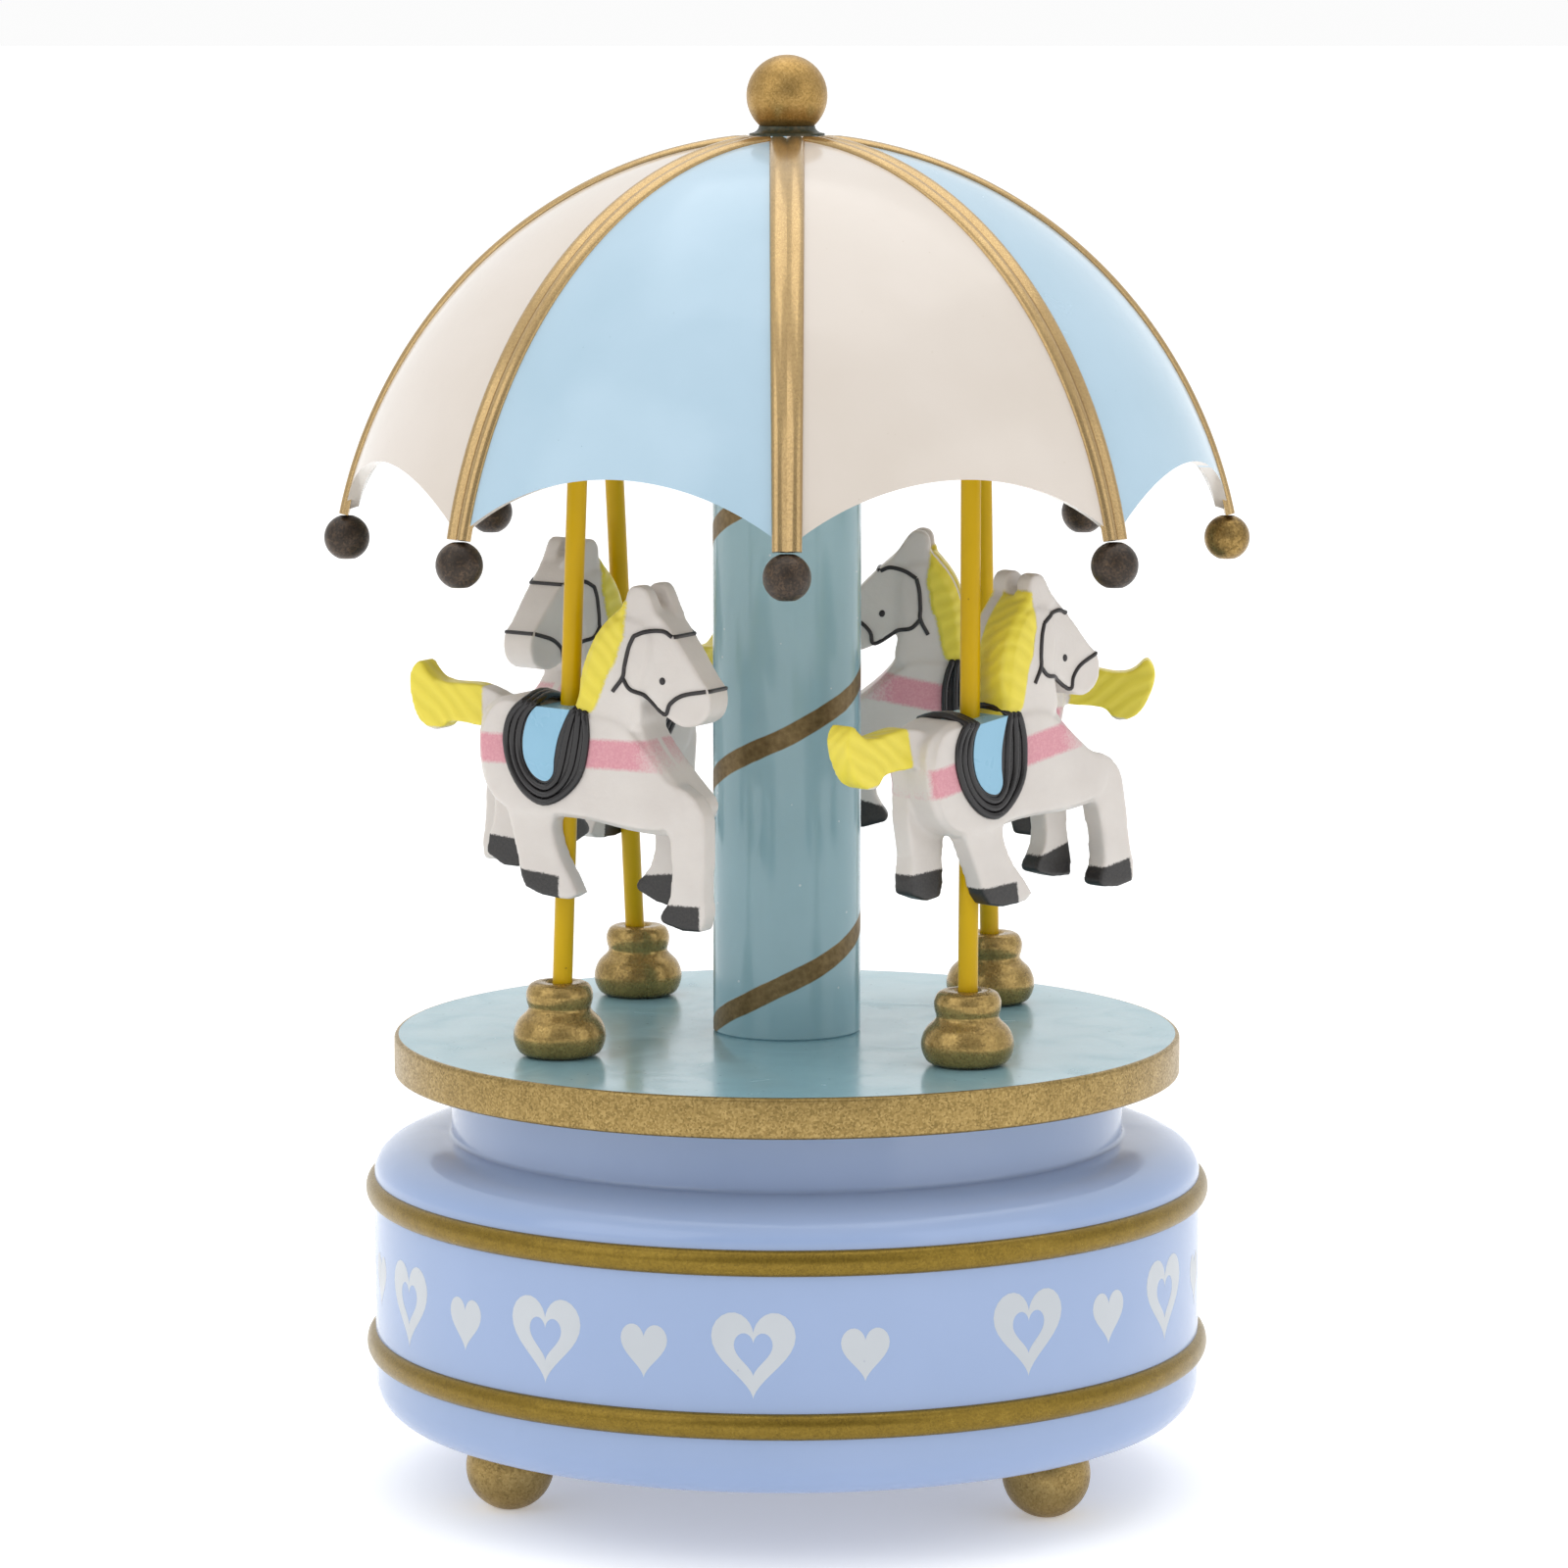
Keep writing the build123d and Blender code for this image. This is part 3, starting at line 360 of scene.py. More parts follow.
# machined or cast metal: fine tool marks about a sixth of a millimetre apart, dulled in patches
def plainMetal(name, light, dark, roughness, marks=(1.0, 1.0, 0.1), spacing=0.16):
    material = newMaterial(name)
    place = addNode(material, "TexCoord").outputs["Object"]
    patches = addNode(material, "TexNoise", {"Vector": place, "Scale": perMm(3.5), "Detail": 5})
    colour = addNode(material, "ValToRGB", {"Fac": patches.outputs["Fac"]},
                     stops=[(0.3, dark), (0.7, light)])
    stretched = addNode(material, "Mapping", {"Vector": place, "Scale": marks})
    lines = addNode(material, "TexNoise", {"Vector": stretched.outputs["Vector"], "Scale": perMm(spacing),
                                           "Detail": 2})
    gloss = addNode(material, "MapRange", {"Value": patches.outputs["Fac"], "To Min": roughness * 0.7,
                                           "To Max": roughness * 1.4})
    bump = addNode(material, "Bump", {"Height": lines.outputs["Fac"], "Strength": 0.25,
                                      "Distance": 0.02 * mm})
    return finishMaterial(material, {"Base Color": colour.outputs["Color"], "Metallic": 1.0,
                                     "Roughness": gloss.outputs["Result"],
                                     "Normal": bump.outputs["Normal"]})


# the column's lacquer with its hand-painted bronze stripe, a right-handed spiral
def stripedLacquer(name, look):
    material = newMaterial(name)
    place = addNode(material, "TexCoord").outputs["Object"]
    spot = addNode(material, "SeparateXYZ", {"Vector": place})
    # turn counted from the front towards +X, in whole turns
    back = addNode(material, "Math", {0: spot.outputs["Y"], 1: -1.0}, operation="MULTIPLY")
    angle = addNode(material, "Math", {0: spot.outputs["X"], 1: back.outputs[0]}, operation="ARCTAN2")
    climb = addNode(material, "Math", {0: angle.outputs[0], 1: -look["pitch"] * mm / (2 * pi),
                                       2: spot.outputs["Z"]}, operation="MULTIPLY_ADD")
    wobbleSource = addNode(material, "Math", {0: angle.outputs[0]}, operation="SINE")
    wobble = addNode(material, "Math", {0: wobbleSource.outputs[0], 1: look["waver"] * mm,
                                        2: climb.outputs[0]}, operation="MULTIPLY_ADD")
    hand = addNode(material, "TexNoise", {"Vector": place, "Scale": perMm(9), "Detail": 3})
    uneven = addNode(material, "Math", {0: hand.outputs["Fac"], 1: 0.8 * mm, 2: wobble.outputs[0]},
                     operation="MULTIPLY_ADD")
    shifted = addNode(material, "Math", {0: uneven.outputs[0],
                                         1: (look["start"] + 0.4 - look["pitch"] / 2) * mm},
                      operation="SUBTRACT")
    inPitch = addNode(material, "Math", {0: shifted.outputs[0], 1: look["pitch"] * mm},
                      operation="FLOORED_MODULO")
    away = addNode(material, "Math", {0: inPitch.outputs[0], 1: look["pitch"] * mm / 2},
                   operation="SUBTRACT")
    distance = addNode(material, "Math", {0: away.outputs[0]}, operation="ABSOLUTE")
    stripe = addNode(material, "MapRange", {"Value": distance.outputs[0],
                                            "From Min": (look["stripeHeight"] / 2 - 0.08) * mm,
                                            "From Max": (look["stripeHeight"] / 2 + 0.08) * mm,
                                            "To Min": 1.0, "To Max": 0.0})
    cloud = addNode(material, "TexNoise", {"Vector": place, "Scale": perMm(20), "Detail": 5})
    blue = addNode(material, "ValToRGB", {"Fac": cloud.outputs["Fac"]},
                   stops=[(0.3, look["blueDark"]), (0.7, look["blueLight"])])
    dust = addNode(material, "TexVoronoi", {"Vector": place, "Scale": perMm(3.0)})
    dots = addNode(material, "Math", {0: dust.outputs["Distance"], 1: 0.05}, operation="LESS_THAN")
    dusty = addNode(material, "MixRGB", {"Fac": dots.outputs[0], "Color1": blue.outputs["Color"],
                                         "Color2": linear(look["speck"])})
    brush = addNode(material, "TexNoise", {"Vector": place, "Scale": perMm(0.7), "Detail": 6})
    bronze = addNode(material, "ValToRGB", {"Fac": brush.outputs["Fac"]},
                     stops=[(0.3, look["stripeDark"]), (0.75, look["stripeLight"])])
    colour = addNode(material, "MixRGB", {"Fac": stripe.outputs["Result"], "Color1": dusty.outputs["Color"],
                                          "Color2": bronze.outputs["Color"]})
    metal = addNode(material, "Math", {0: stripe.outputs["Result"], 1: 0.55}, operation="MULTIPLY")
    gloss = addNode(material, "MapRange", {"Value": stripe.outputs["Result"], "To Min": 0.16,
                                           "To Max": 0.42})
    peel = addNode(material, "TexNoise", {"Vector": place, "Scale": perMm(1.6), "Detail": 3})
    height = addNode(material, "Math", {0: stripe.outputs["Result"], 1: 1.5, 2: peel.outputs["Fac"]},
                     operation="MULTIPLY_ADD")
    bump = addNode(material, "Bump", {"Height": height.outputs[0], "Strength": 0.3, "Distance": 0.03 * mm})
    return finishMaterial(material, {"Base Color": colour.outputs["Color"], "Metallic": metal.outputs[0],
                                     "Roughness": gloss.outputs["Result"], "IOR": 1.5,
                                     "Normal": bump.outputs["Normal"]})


# hand-painted soft PVC: a satin white moulding with tampo-printed pink band and painted mane, tail and
# hooves, the mane and tail yellow darkened as painted shade in the bottoms of their strand grooves; the
# attributes hold each paint edge as a distance in millimetres
def paintedHorse(name, look):
    material = newMaterial(name)
    # this attribute is in the mould's own millimetres, so scales here are per millimetre
    place = addNode(material, "Attribute", attribute_name="horsePlace").outputs["Vector"]
    cloud = addNode(material, "TexNoise", {"Vector": place, "Scale": 0.12, "Detail": 4})
    white = addNode(material, "ValToRGB", {"Fac": cloud.outputs["Fac"]},
                    stops=[(0.3, look["whiteDark"]), (0.7, look["whiteLight"])])
    fleck = addNode(material, "TexNoise", {"Vector": place, "Scale": 3.2, "Detail": 4, "Roughness": 0.7})
    ragged = addNode(material, "MapRange", {"Value": fleck.outputs["Fac"], "To Min": -0.35, "To Max": 0.35})
    colour = white.outputs["Color"]
    masks = {}
    for paint in ("bandEdge", "maneEdge", "hoofEdge"):
        edge = addNode(material, "Attribute", attribute_name=paint)
        wavy = addNode(material, "Math", {0: edge.outputs["Fac"], 1: ragged.outputs["Result"]},
                       operation="ADD")
        soft = look[paint]
        mask = addNode(material, "MapRange", {"Value": wavy.outputs[0], "From Min": -soft,
                                              "From Max": soft})
        masks[paint] = mask.outputs["Result"]
    strands = addNode(material, "TexWave", {"Vector": place, "Scale": look["strandScale"],
                                            "Distortion": 9.0, "Detail": 2, "Detail Scale": 0.35},
                      wave_type="BANDS", bands_direction="DIAGONAL")
    tints = {"bandEdge": addNode(material, "ValToRGB", {"Fac": fleck.outputs["Fac"]},
                                 stops=[(0.3, look["pinkLight"]), (0.6, look["pink"])]),
             # the mane yellow runs darker where the strand wave is low, which is painted shade in the
             # grooves that the same wave cuts in the bump
             "maneEdge": addNode(material, "ValToRGB", {"Fac": strands.outputs["Fac"]},
                                 stops=[(0.05, look["yellowGrooveShade"]), (0.8, look["yellow"])]),
             "hoofEdge": addNode(material, "ValToRGB", {"Fac": fleck.outputs["Fac"]},
                                 stops=[(0.35, look["black"]), (0.75, look["blackWorn"])])}
    for paint, mask in masks.items():
        layer = addNode(material, "MixRGB", {"Fac": mask, "Color1": colour,
                                             "Color2": tints[paint].outputs["Color"]})
        colour = layer.outputs["Color"]
    relief = addNode(material, "Math", {0: strands.outputs["Fac"], 1: masks["maneEdge"]},
                     operation="MULTIPLY")
    grain = addNode(material, "TexNoise", {"Vector": place, "Scale": 1.3, "Detail": 5})
    height = addNode(material, "Math", {0: relief.outputs[0], 1: look["strandDepth"],
                                        2: grain.outputs["Fac"]}, operation="MULTIPLY_ADD")
    bump = addNode(material, "Bump", {"Height": height.outputs[0], "Strength": 0.6, "Distance": 0.08 * mm})
    gloss = addNode(material, "MapRange", {"Value": cloud.outputs["Fac"], "To Min": 0.3, "To Max": 0.5})
    return finishMaterial(material, {"Base Color": colour, "Roughness": gloss.outputs["Result"],
                                     "IOR": 1.53, "Subsurface Weight": 0.12,
                                     "Subsurface Radius": (0.0012, 0.001, 0.0008),
                                     "Subsurface Scale": 1.0, "Normal": bump.outputs["Normal"]})


horseColours = {"whiteLight": "#d5cfc9", "whiteDark": "#cbc4be", "pink": "#cd8b96",
                # the second, darker yellow is painted shade for the bottoms of the mane and tail strand
                # grooves
                "pinkLight": "#d89fa7", "yellow": "#e2d142", "yellowGrooveShade": "#dccb3d",
                "black": "#1b191a", "blackWorn": "#33302d", "bandEdge": 0.25, "maneEdge": 0.16,
                "hoofEdge": 0.12, "strandScale": 0.24, "strandDepth": 1.6}
columnColours = {"blueLight": "#9bbdc7", "blueDark": "#8fb3bd", "speck": "#c0d0d4",
                 "stripeLight": "#86704a", "stripeDark": "#65522f", "pitch": 31.2, "start": 64.8,
                 "stripeHeight": 2.7, "waver": 0.5}

periwinkleAbs = mouldedAbs("periwinkleAbs", "#97abd0", "#90a5ca", partingAzimuth=28)
coverAbs = mouldedAbs("coverAbs", "#8e9ab8", "#8592b0", (0.3, 0.5))
heartInk = sprayedLacquer("heartInk", "#c3c8cd", "#b9bfc5", "#b0b6c2", (0.3, 0.45))
bandBronze = bronzePaint("bandBronze", "#957b2e", "#7f671e", "#604c12", (0.24, 0.36), flake=0.2, blotch=0.1,
                         metallic=0.65, grain=0.03)
rimBronze = bronzePaint("rimBronze", "#c4a970", "#967e4c", "#5d4e2d", (0.2, 0.5), flake=0.24, blotch=0.05,
                        grain=0.4)
ballBronze = bronzePaint("ballBronze", "#c5a368", "#a8874e", "#7d6638", (0.3, 0.46), flake=0.2, blotch=0.12)
footBronze = bronzePaint("footBronze", "#b99f66", "#9c8350", "#6f5c36", (0.3, 0.5), flake=0.24, blotch=0.14)
cupBronze = bronzePaint("cupBronze", "#c2a566", "#9d824b", "#675430", (0.16, 0.34), flake=0.22, blotch=0.14,
                        metallic=0.7)
beadBronze = bronzePaint("beadBronze", "#5f4b38", "#342a21", "#221b17", (0.32, 0.52), flake=0.24,
                         blotch=0.16, metallic=0.4)
beadGold = bronzePaint("beadGold", "#b3955c", "#8a7040", "#4e3f26", (0.26, 0.46), flake=0.24, blotch=0.2)
ribBronze = bronzePaint("ribBronze", "#c9ad78", "#b3976a", "#a08558", (0.16, 0.28), flake=0.14, blotch=0.08,
                        metallic=0.8, drawn=(1.0, 1.0, 0.12), grain=0.03)
collarPaint = bronzePaint("collarPaint", "#5c5038", "#373d2d", "#22291f", (0.3, 0.5), metallic=0.4)
creamLacquer = sprayedLacquer("creamLacquer", "#d9d0c7", "#d2c8bd", "#c8bdad", (0.12, 0.28), specks=0.03)
skyLacquer = sprayedLacquer("skyLacquer", "#b1cbdc", "#a6c2d3", "#93b1c1", (0.12, 0.28), specks=0.03)
tableLacquer = sprayedLacquer("tableLacquer", "#93bcc8", "#88b2bf", "#6f949f", (0.14, 0.3), specks=0.07)
birch = bareBirch("birch", "#d8bf94", "#b99a6b")
columnLacquer = stripedLacquer("columnLacquer", columnColours)
poleLacquer = sprayedLacquer("poleLacquer", "#cfa800", "#c29c00", "#a08000", (0.3, 0.44), specks=0.06,
                             gloss=0.2)
horsePaint = paintedHorse("horsePaint", horseColours)
saddlePaint = sprayedLacquer("saddlePaint", "#242223", "#1b191a", "#403d3d", (0.14, 0.3), specks=0.05)
seatPaint = sprayedLacquer("seatPaint", "#8fbdd6", "#80b0ca", "#729fb8", (0.2, 0.36), specks=0.04)
bridleInk = sprayedLacquer("bridleInk", "#2a2526", "#1e1a1b", "#3c3636", (0.3, 0.5))
turnedSteel = plainMetal("turnedSteel", "#c6c6c4", "#a9a9a8", 0.28)
blueSteel = plainMetal("blueSteel", "#6f7888", "#4e5563", 0.3)
castZinc = plainMetal("castZinc", "#aeb0b2", "#8d9092", 0.5, (1, 1, 1), 0.6)
rolledBrass = plainMetal("rolledBrass", "#d9b45e", "#bd9748", 0.3)
screwSteel = plainMetal("screwSteel", "#b9bbbd", "#9a9c9e", 0.25)
brakeNylon = mouldedAbs("brakeNylon", "#e6e3da", "#dcd8cd", (0.35, 0.5))
print("stage: finishes made")


baseLow, baseHigh = boxOf("base_shell")
base = {"bandProud": 1.1, "bandHeight": 3.2, "bandLevels": (18.3, 38.1), "corner": 4.6, "wall": 2.4,
        "shoulderStart": 40.2, "shoulderRise": 4.5, "shoulderWidth": 8.8, "neckStep": 1.0,
        "bushRadius": 3.5, "opening": 45.4, "coverThickness": 2.4, "edge": 0.5, "steps": 192}
wallRadius = baseHigh.x - base["bandProud"]


def bandBulge(level):
    half = base["bandHeight"] / 2
    return ellipseArc((wallRadius, level), (base["bandProud"], half), -90, 90, 12)


def makeBaseCase():
    low, high, wall, corner = baseLow.z, baseHigh.z, base["wall"], base["corner"]
    neckFoot = wallRadius - base["shoulderWidth"]
    neck, shoulderEnd = neckFoot - base["neckStep"], base["shoulderStart"] + base["shoulderRise"]
    ceiling, edge, inner = high - wall, base["edge"], wallRadius - wall
    profile = [(base["opening"], low + base["coverThickness"]), (base["opening"], low)]
    profile += ellipseArc((wallRadius - corner, low + corner), (corner, corner), -90, 0, 12)
    profile += bandBulge(base["bandLevels"][0]) + bandBulge(base["bandLevels"][1])
    profile += ellipseArc((neckFoot, base["shoulderStart"]),
                          (base["shoulderWidth"], base["shoulderRise"]), 4, 88, 18)
    profile += [(neckFoot, shoulderEnd)]
    profile += ellipseArc((neck + edge, shoulderEnd + edge), (edge, edge), -90, -180, 4)
    profile += ellipseArc((neck - edge, high - edge), (edge, edge), 0, 90, 4)
    profile += [(base["bushRadius"], high), (base["bushRadius"], ceiling), (neck - wall, ceiling),
                (neck - wall, shoulderEnd - wall), (inner, base["shoulderStart"] - wall),
                (inner, low + corner)]
    profile += [(wallRadius - corner, low + base["coverThickness"]), profile[0]]
    case = turnPiece("baseCase", profile, base["steps"], smoothAngle=30)
    finish(case, "base", "base_plastic", periwinkleAbs, bandBronze)
    half = base["bandHeight"] / 2
    paintWhere(case, 1, lambda spot, normal: hypot(spot.x, spot.y) > wallRadius + 0.03
               and min(abs(spot.z - level) for level in base["bandLevels"]) < half + 0.02)
    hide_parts("base_shell")
    return case


hearts = {"level": 26.95, "levelAfterGap": 27.8, "spacing": 14.7, "first": -63.2, "count": 24,
          "gapAfter": 6, "gap": 23.5, "large": (10.1, 10.5), "small": (5.9, 6.5), "hole": (0.46, 0.5),
          "holeLift": 0.25, "ink": 0.06, "points": 44, "strip": 0.7}


def makeHeart(name, size, hollow):
    # a heart drawn flat in front of the wall, cut into strips, then bent round the wall
    width, height = size
    outline = []
    for step in range(hearts["points"]):
        turn = 2 * pi * step / hearts["points"]
        across = sin(turn) ** 3
        up = (13 * cos(turn) - 5 * cos(2 * turn) - 2 * cos(3 * turn) - cos(4 * turn) + 2.5) / 29
        outline.append((across * width / 2, 0, up * height))
    if hollow:
        # the outline is drawn once more at its start, so that the ring of faces closes
        heart = drawChain(name, outline + outline[:1])
        bpy.ops.mesh.extrude_edges_move(TRANSFORM_OT_translate={"value": (0, 0, 0)})
        bpy.ops.transform.resize(value=(hearts["hole"][0], 1, hearts["hole"][1]),
                                 center_override=(0, 0, hearts["holeLift"] * mm))
        bpy.ops.mesh.select_all(action="SELECT")
        bpy.ops.mesh.remove_doubles(threshold=0.004 * mm)
    else:
        heart = drawChain(name, outline)
        bpy.ops.mesh.edge_face_add()
    cut = -width / 2 + hearts["strip"]
    while cut < width / 2:
        bpy.ops.mesh.select_all(action="SELECT")
        bpy.ops.mesh.bisect(plane_co=(cut * mm, 0, 0), plane_no=(1, 0, 0))
        cut += hearts["strip"]
    bpy.ops.mesh.select_all(action="SELECT")
    bpy.ops.mesh.normals_make_consistent(inside=False)
    bpy.ops.object.mode_set(mode="OBJECT")
    return heart


def makeHearts():
    patterns = [makeHeart("largeHeart", hearts["large"], True),
                makeHeart("smallHeart", hearts["small"], False)]
    printed = []
    azimuth = hearts["first"]
    for number in range(hearts["count"]):
        level = hearts["level"] if number < hearts["gapAfter"] else hearts["levelAfterGap"]
        copy = copyPiece(patterns[number % 2], f"heart{number}", Matrix.Translation((0, 0, level * mm)))
        for vertex in copy.data.vertices:
            turned = azimuth + degrees(vertex.co.x / mm / wallRadius)
            vertex.co = polar(wallRadius + 0.01, turned, vertex.co.z / mm) * mm
        printed.append(copy)
        azimuth += hearts["gap"] if number + 1 == hearts["gapAfter"] else hearts["spacing"]
    remove(*patterns)
    printedHearts = joinAll("printedHearts", printed)
    # every face looks away from the axis before the ink gets its thickness
    bpy.ops.object.mode_set(mode="EDIT")
    bpy.ops.mesh.select_all(action="SELECT")
    bpy.ops.mesh.normals_make_consistent(inside=False)
    bpy.ops.object.mode_set(mode="OBJECT")
    mesh = printedHearts.data
    inward = [face.index for face in mesh.polygons
              if face.normal.x * face.center.x + face.normal.y * face.center.y < 0]
    for face in mesh.polygons:
        face.select = face.index in inward
    bpy.ops.object.mode_set(mode="EDIT")
    bpy.ops.mesh.flip_normals()
    bpy.ops.object.mode_set(mode="OBJECT")
    useModifier(printedHearts, "SOLIDIFY", thickness=hearts["ink"] * mm, offset=1)
    return finish(printedHearts, "base", "base_plastic", heartInk)


feet = {"radius": 5.5, "flat": 1.6, "nodes": ("foot_front_left", "foot_front_right", "foot_back")}


def makeFeet():
    top, radius = boxOf(feet["nodes"][0])[1].z, feet["radius"]
    centre = sqrt(radius ** 2 - feet["flat"] ** 2)
    start, end = degrees(asin(-centre / radius)), degrees(asin((top - centre) / radius))
    profile = [(0, 0)] + ellipseArc((0, centre), (radius, radius), start, end, 28) + [(0, top)]
    pattern = turnPiece("footPattern", profile, 48)
    for number, node in enumerate(feet["nodes"]):
        low, high = boxOf(node)
        place = Matrix.Translation(Vector(((low.x + high.x) / 2, (low.y + high.y) / 2, 0)) * mm)
        foot = finish(copyPiece(pattern, f"foot_{number + 1}", place), "base", "foot_wood", footBronze)
        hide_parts(node)
    remove(pattern)


makeBaseCase()
makeHearts()
makeFeet()
print("stage: base, hearts and feet")


tableLow, tableHigh = boxOf("turntable")
turntable = {"edge": 0.5, "hubRecess": 11.1, "hubDepth": 1.6, "hubHole": 4.6, "paintMargin": 0.55,
             "steps": 160}
columnLow, columnHigh = boxOf("column")
column = {"wall": 1.5, "edge": 0.25, "steps": 96}


def makeTurntable():
    low, high, radius, edge = tableLow.z, tableHigh.z, tableHigh.x, turntable["edge"]
    profile = [(turntable["hubHole"], high), (radius - 6, high), (radius - turntable["paintMargin"], high)]
    profile += ellipseArc((radius - edge, high - edge), (edge, edge), 90, 0, 5)
    profile += ellipseArc((radius - edge, low + edge), (edge, edge), 0, -90, 5)
    profile += [(turntable["hubRecess"], low), (turntable["hubRecess"], low + turntable["hubDepth"]),
                (turntable["hubHole"], low + turntable["hubDepth"]), (turntable["hubHole"], high)]
    disc = turnPiece("turntableDisc", profile, turntable["steps"], smoothAngle=40)
    finish(disc, "carousel", "turntable_wood", rimBronze, tableLacquer, birch)
    painted, recess = radius - turntable["paintMargin"], turntable["hubRecess"] + 1
    paintWhere(disc, 1, lambda spot, normal: normal.z > 0.99 and hypot(spot.x, spot.y) < painted)
    paintWhere(disc, 2, lambda spot, normal: normal.z < -0.99
               or hypot(spot.x, spot.y) < recess and normal.z < 0.9)
    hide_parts("turntable")


def makeColumn():
    low, high, radius, edge = columnLow.z, columnHigh.z, columnHigh.x, column["edge"]
    bore = radius - column["wall"]
    profile = [(bore, low), (radius - edge, low), (radius, low + edge), (radius, (low + high) / 2),
               (radius, high - edge), (radius - edge, high), (bore, high), (bore, low)]
    post = turnPiece("columnTube", profile, column["steps"])
    finish(post, "carousel", "column_paint", columnLacquer)
    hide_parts("column")


makeTurntable()
makeColumn()
print("stage: turntable and column")


canopyHigh = boxOf("canopy")[1]
canopy = {"radius": 57.4, "rise": 60.5, "crest": 0.4, "ribProud": 0.7, "thickness": 1.5, "scallop": 7.8,
          "crown": 5.2, "crownBoss": 11.0, "pinRadius": 1.2, "panels": 8, "steps": 160, "rows": 44,
          "ribWidthTop": 4.3, "ribWidthRim": 3.5, "ribSteps": 96, "socketRadius": 2.6,
          "socketBore": 1.35, "socketLength": 6.0}
canopyCentre = canopyHigh.z + canopy["crest"] - canopy["rise"]
rimLevel = canopyCentre + 13.2
outerPanel = (canopy["radius"] - canopy["ribProud"], canopy["rise"] - canopy["ribProud"])
innerPanel = (outerPanel[0] - canopy["thickness"], outerPanel[1] - canopy["thickness"])


def domeLevel(radii, radius):
    return canopyCentre + radii[1] * sqrt(1 - (radius / radii[0]) ** 2)


def domeArc(radii, radiusEnd):
    start = degrees(asin((rimLevel - canopyCentre) / radii[1]))
    end = degrees(asin((domeLevel(radii, radiusEnd) - canopyCentre) / radii[1]))
    return ellipseArc((0, canopyCentre), radii, start, end, canopy["rows"])


def makeCanopy():
    top, columnTop = canopyHigh.z, columnHigh.z
    profile = domeArc(outerPanel, canopy["crown"])
    profile += [(canopy["crown"], top - 0.3), (canopy["crown"] - 0.3, top), (canopy["pinRadius"], top),
                (canopy["pinRadius"], columnTop), (canopy["crownBoss"], columnTop)]
    profile += reversed(domeArc(innerPanel, canopy["crownBoss"]))
    profile += [profile[0]]
    shell = turnPiece("canopyShell", profile, canopy["steps"], smoothAngle=25)
    # round bites out of the rim between neighbouring ribs
    tipRadius = canopy["radius"] * sqrt(1 - ((rimLevel - canopyCentre) / canopy["rise"]) ** 2)
    halfSpan = tipRadius * sin(pi / canopy["panels"])
    biteRadius = (halfSpan ** 2 + canopy["scallop"] ** 2) / (2 * canopy["scallop"])
    for number in range(canopy["panels"] // 2):
        azimuth = 360 * (number + 0.5) / canopy["panels"]
        deselectAll()
        level = rimLevel + canopy["scallop"] - biteRadius
        bpy.ops.mesh.primitive_cylinder_add(vertices=200, radius=biteRadius * mm,
                                            depth=2.6 * canopy["radius"] * mm,
                                            location=(0, 0, level * mm),
                                            rotation=(pi / 2, 0, radians(azimuth)))
        cutter = bpy.context.object
        useModifier(shell, "BOOLEAN", operation="DIFFERENCE", object=cutter, solver="EXACT")
        remove(cutter)
    pick(shell)
    bpy.ops.object.shade_smooth_by_angle(angle=radians(25))
    finish(shell, "carousel", "canopy_plastic", creamLacquer, skyLacquer)

    def isBlue(spot, normal):
        azimuth = degrees(atan2(spot.x, -spot.y)) % 360
        outside = hypot(hypot(spot.x, spot.y) / outerPanel[0], (spot.z - canopyCentre) / outerPanel[1])
        return int(azimuth // (360 / canopy["panels"])) % 2 == 1 and outside > 0.99
    paintWhere(shell, 1, isBlue)
    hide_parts("canopy")


def makeRibs():
    # half-round moulding with a groove along its middle, spun over the dome and drawn up
    # to the dome's own height
    ratio = canopy["rise"] / canopy["radius"]
    start = asin((rimLevel - canopyCentre) / canopy["rise"])
    half = canopy["ribWidthRim"] / 2
    # (share of the half width, height from the crest): flank, shoulder, ridge and groove
    flank = -canopy["ribProud"]
    side = [(1.0, flank - 0.5), (1.0, flank + 0.1), (0.93, flank + 0.32), (0.80, -0.16), (0.62, -0.02),
            (0.44, 0.0), (0.24, -0.12)]
    section = [(-half * share, out) for share, out in side] + [(0, -0.34)]
    section += [(half * share, out) for share, out in reversed(side)]
    points = []
    for across, out in section:
        reach = canopy["radius"] + out
        points.append((across, -reach * cos(start), canopyCentre + reach * sin(start)))
    rib = drawChain("ribPattern", points)
    bpy.ops.mesh.edge_face_add()
    bpy.ops.mesh.spin(steps=canopy["ribSteps"], angle=pi / 2 - start, center=(0, 0, canopyCentre * mm),
                      axis=(1, 0, 0))
    bpy.ops.mesh.select_all(action="SELECT")
    bpy.ops.transform.resize(value=(1, 1, ratio), center_override=(0, 0, canopyCentre * mm))
    closeUp(rib, 50)
    top = canopyHigh.z
    for vertex in rib.data.vertices:
        share = (vertex.co.z / mm - rimLevel) / (top - rimLevel)
        vertex.co.x *= 1 + (canopy["ribWidthTop"] / canopy["ribWidthRim"] - 1) * share
        vertex.co.z = min(vertex.co.z, top * mm)
    for number in range(canopy["panels"]):
        turn = Matrix.Rotation(2 * pi * number / canopy["panels"], 4, "Z")
        copy = copyPiece(rib, f"canopyRib_{number + 1}", turn)
        finish(copy, "carousel", "canopy_plastic", ribBronze)
    remove(rib)


def poleEnds(index):
    # middle of each end face of a pole, read from its node
    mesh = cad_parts[f"pole_{index}"].data
    points = [vertex.co / mm for vertex in mesh.vertices]
    middle = sum(point.z for point in points) / len(points)
    ends = []
    for side in (-1, 1):
        ring = [point for point in points if (point.z - middle) * side > 0]
        ends.append(sum(ring, Vector()) / len(ring))
    return ends


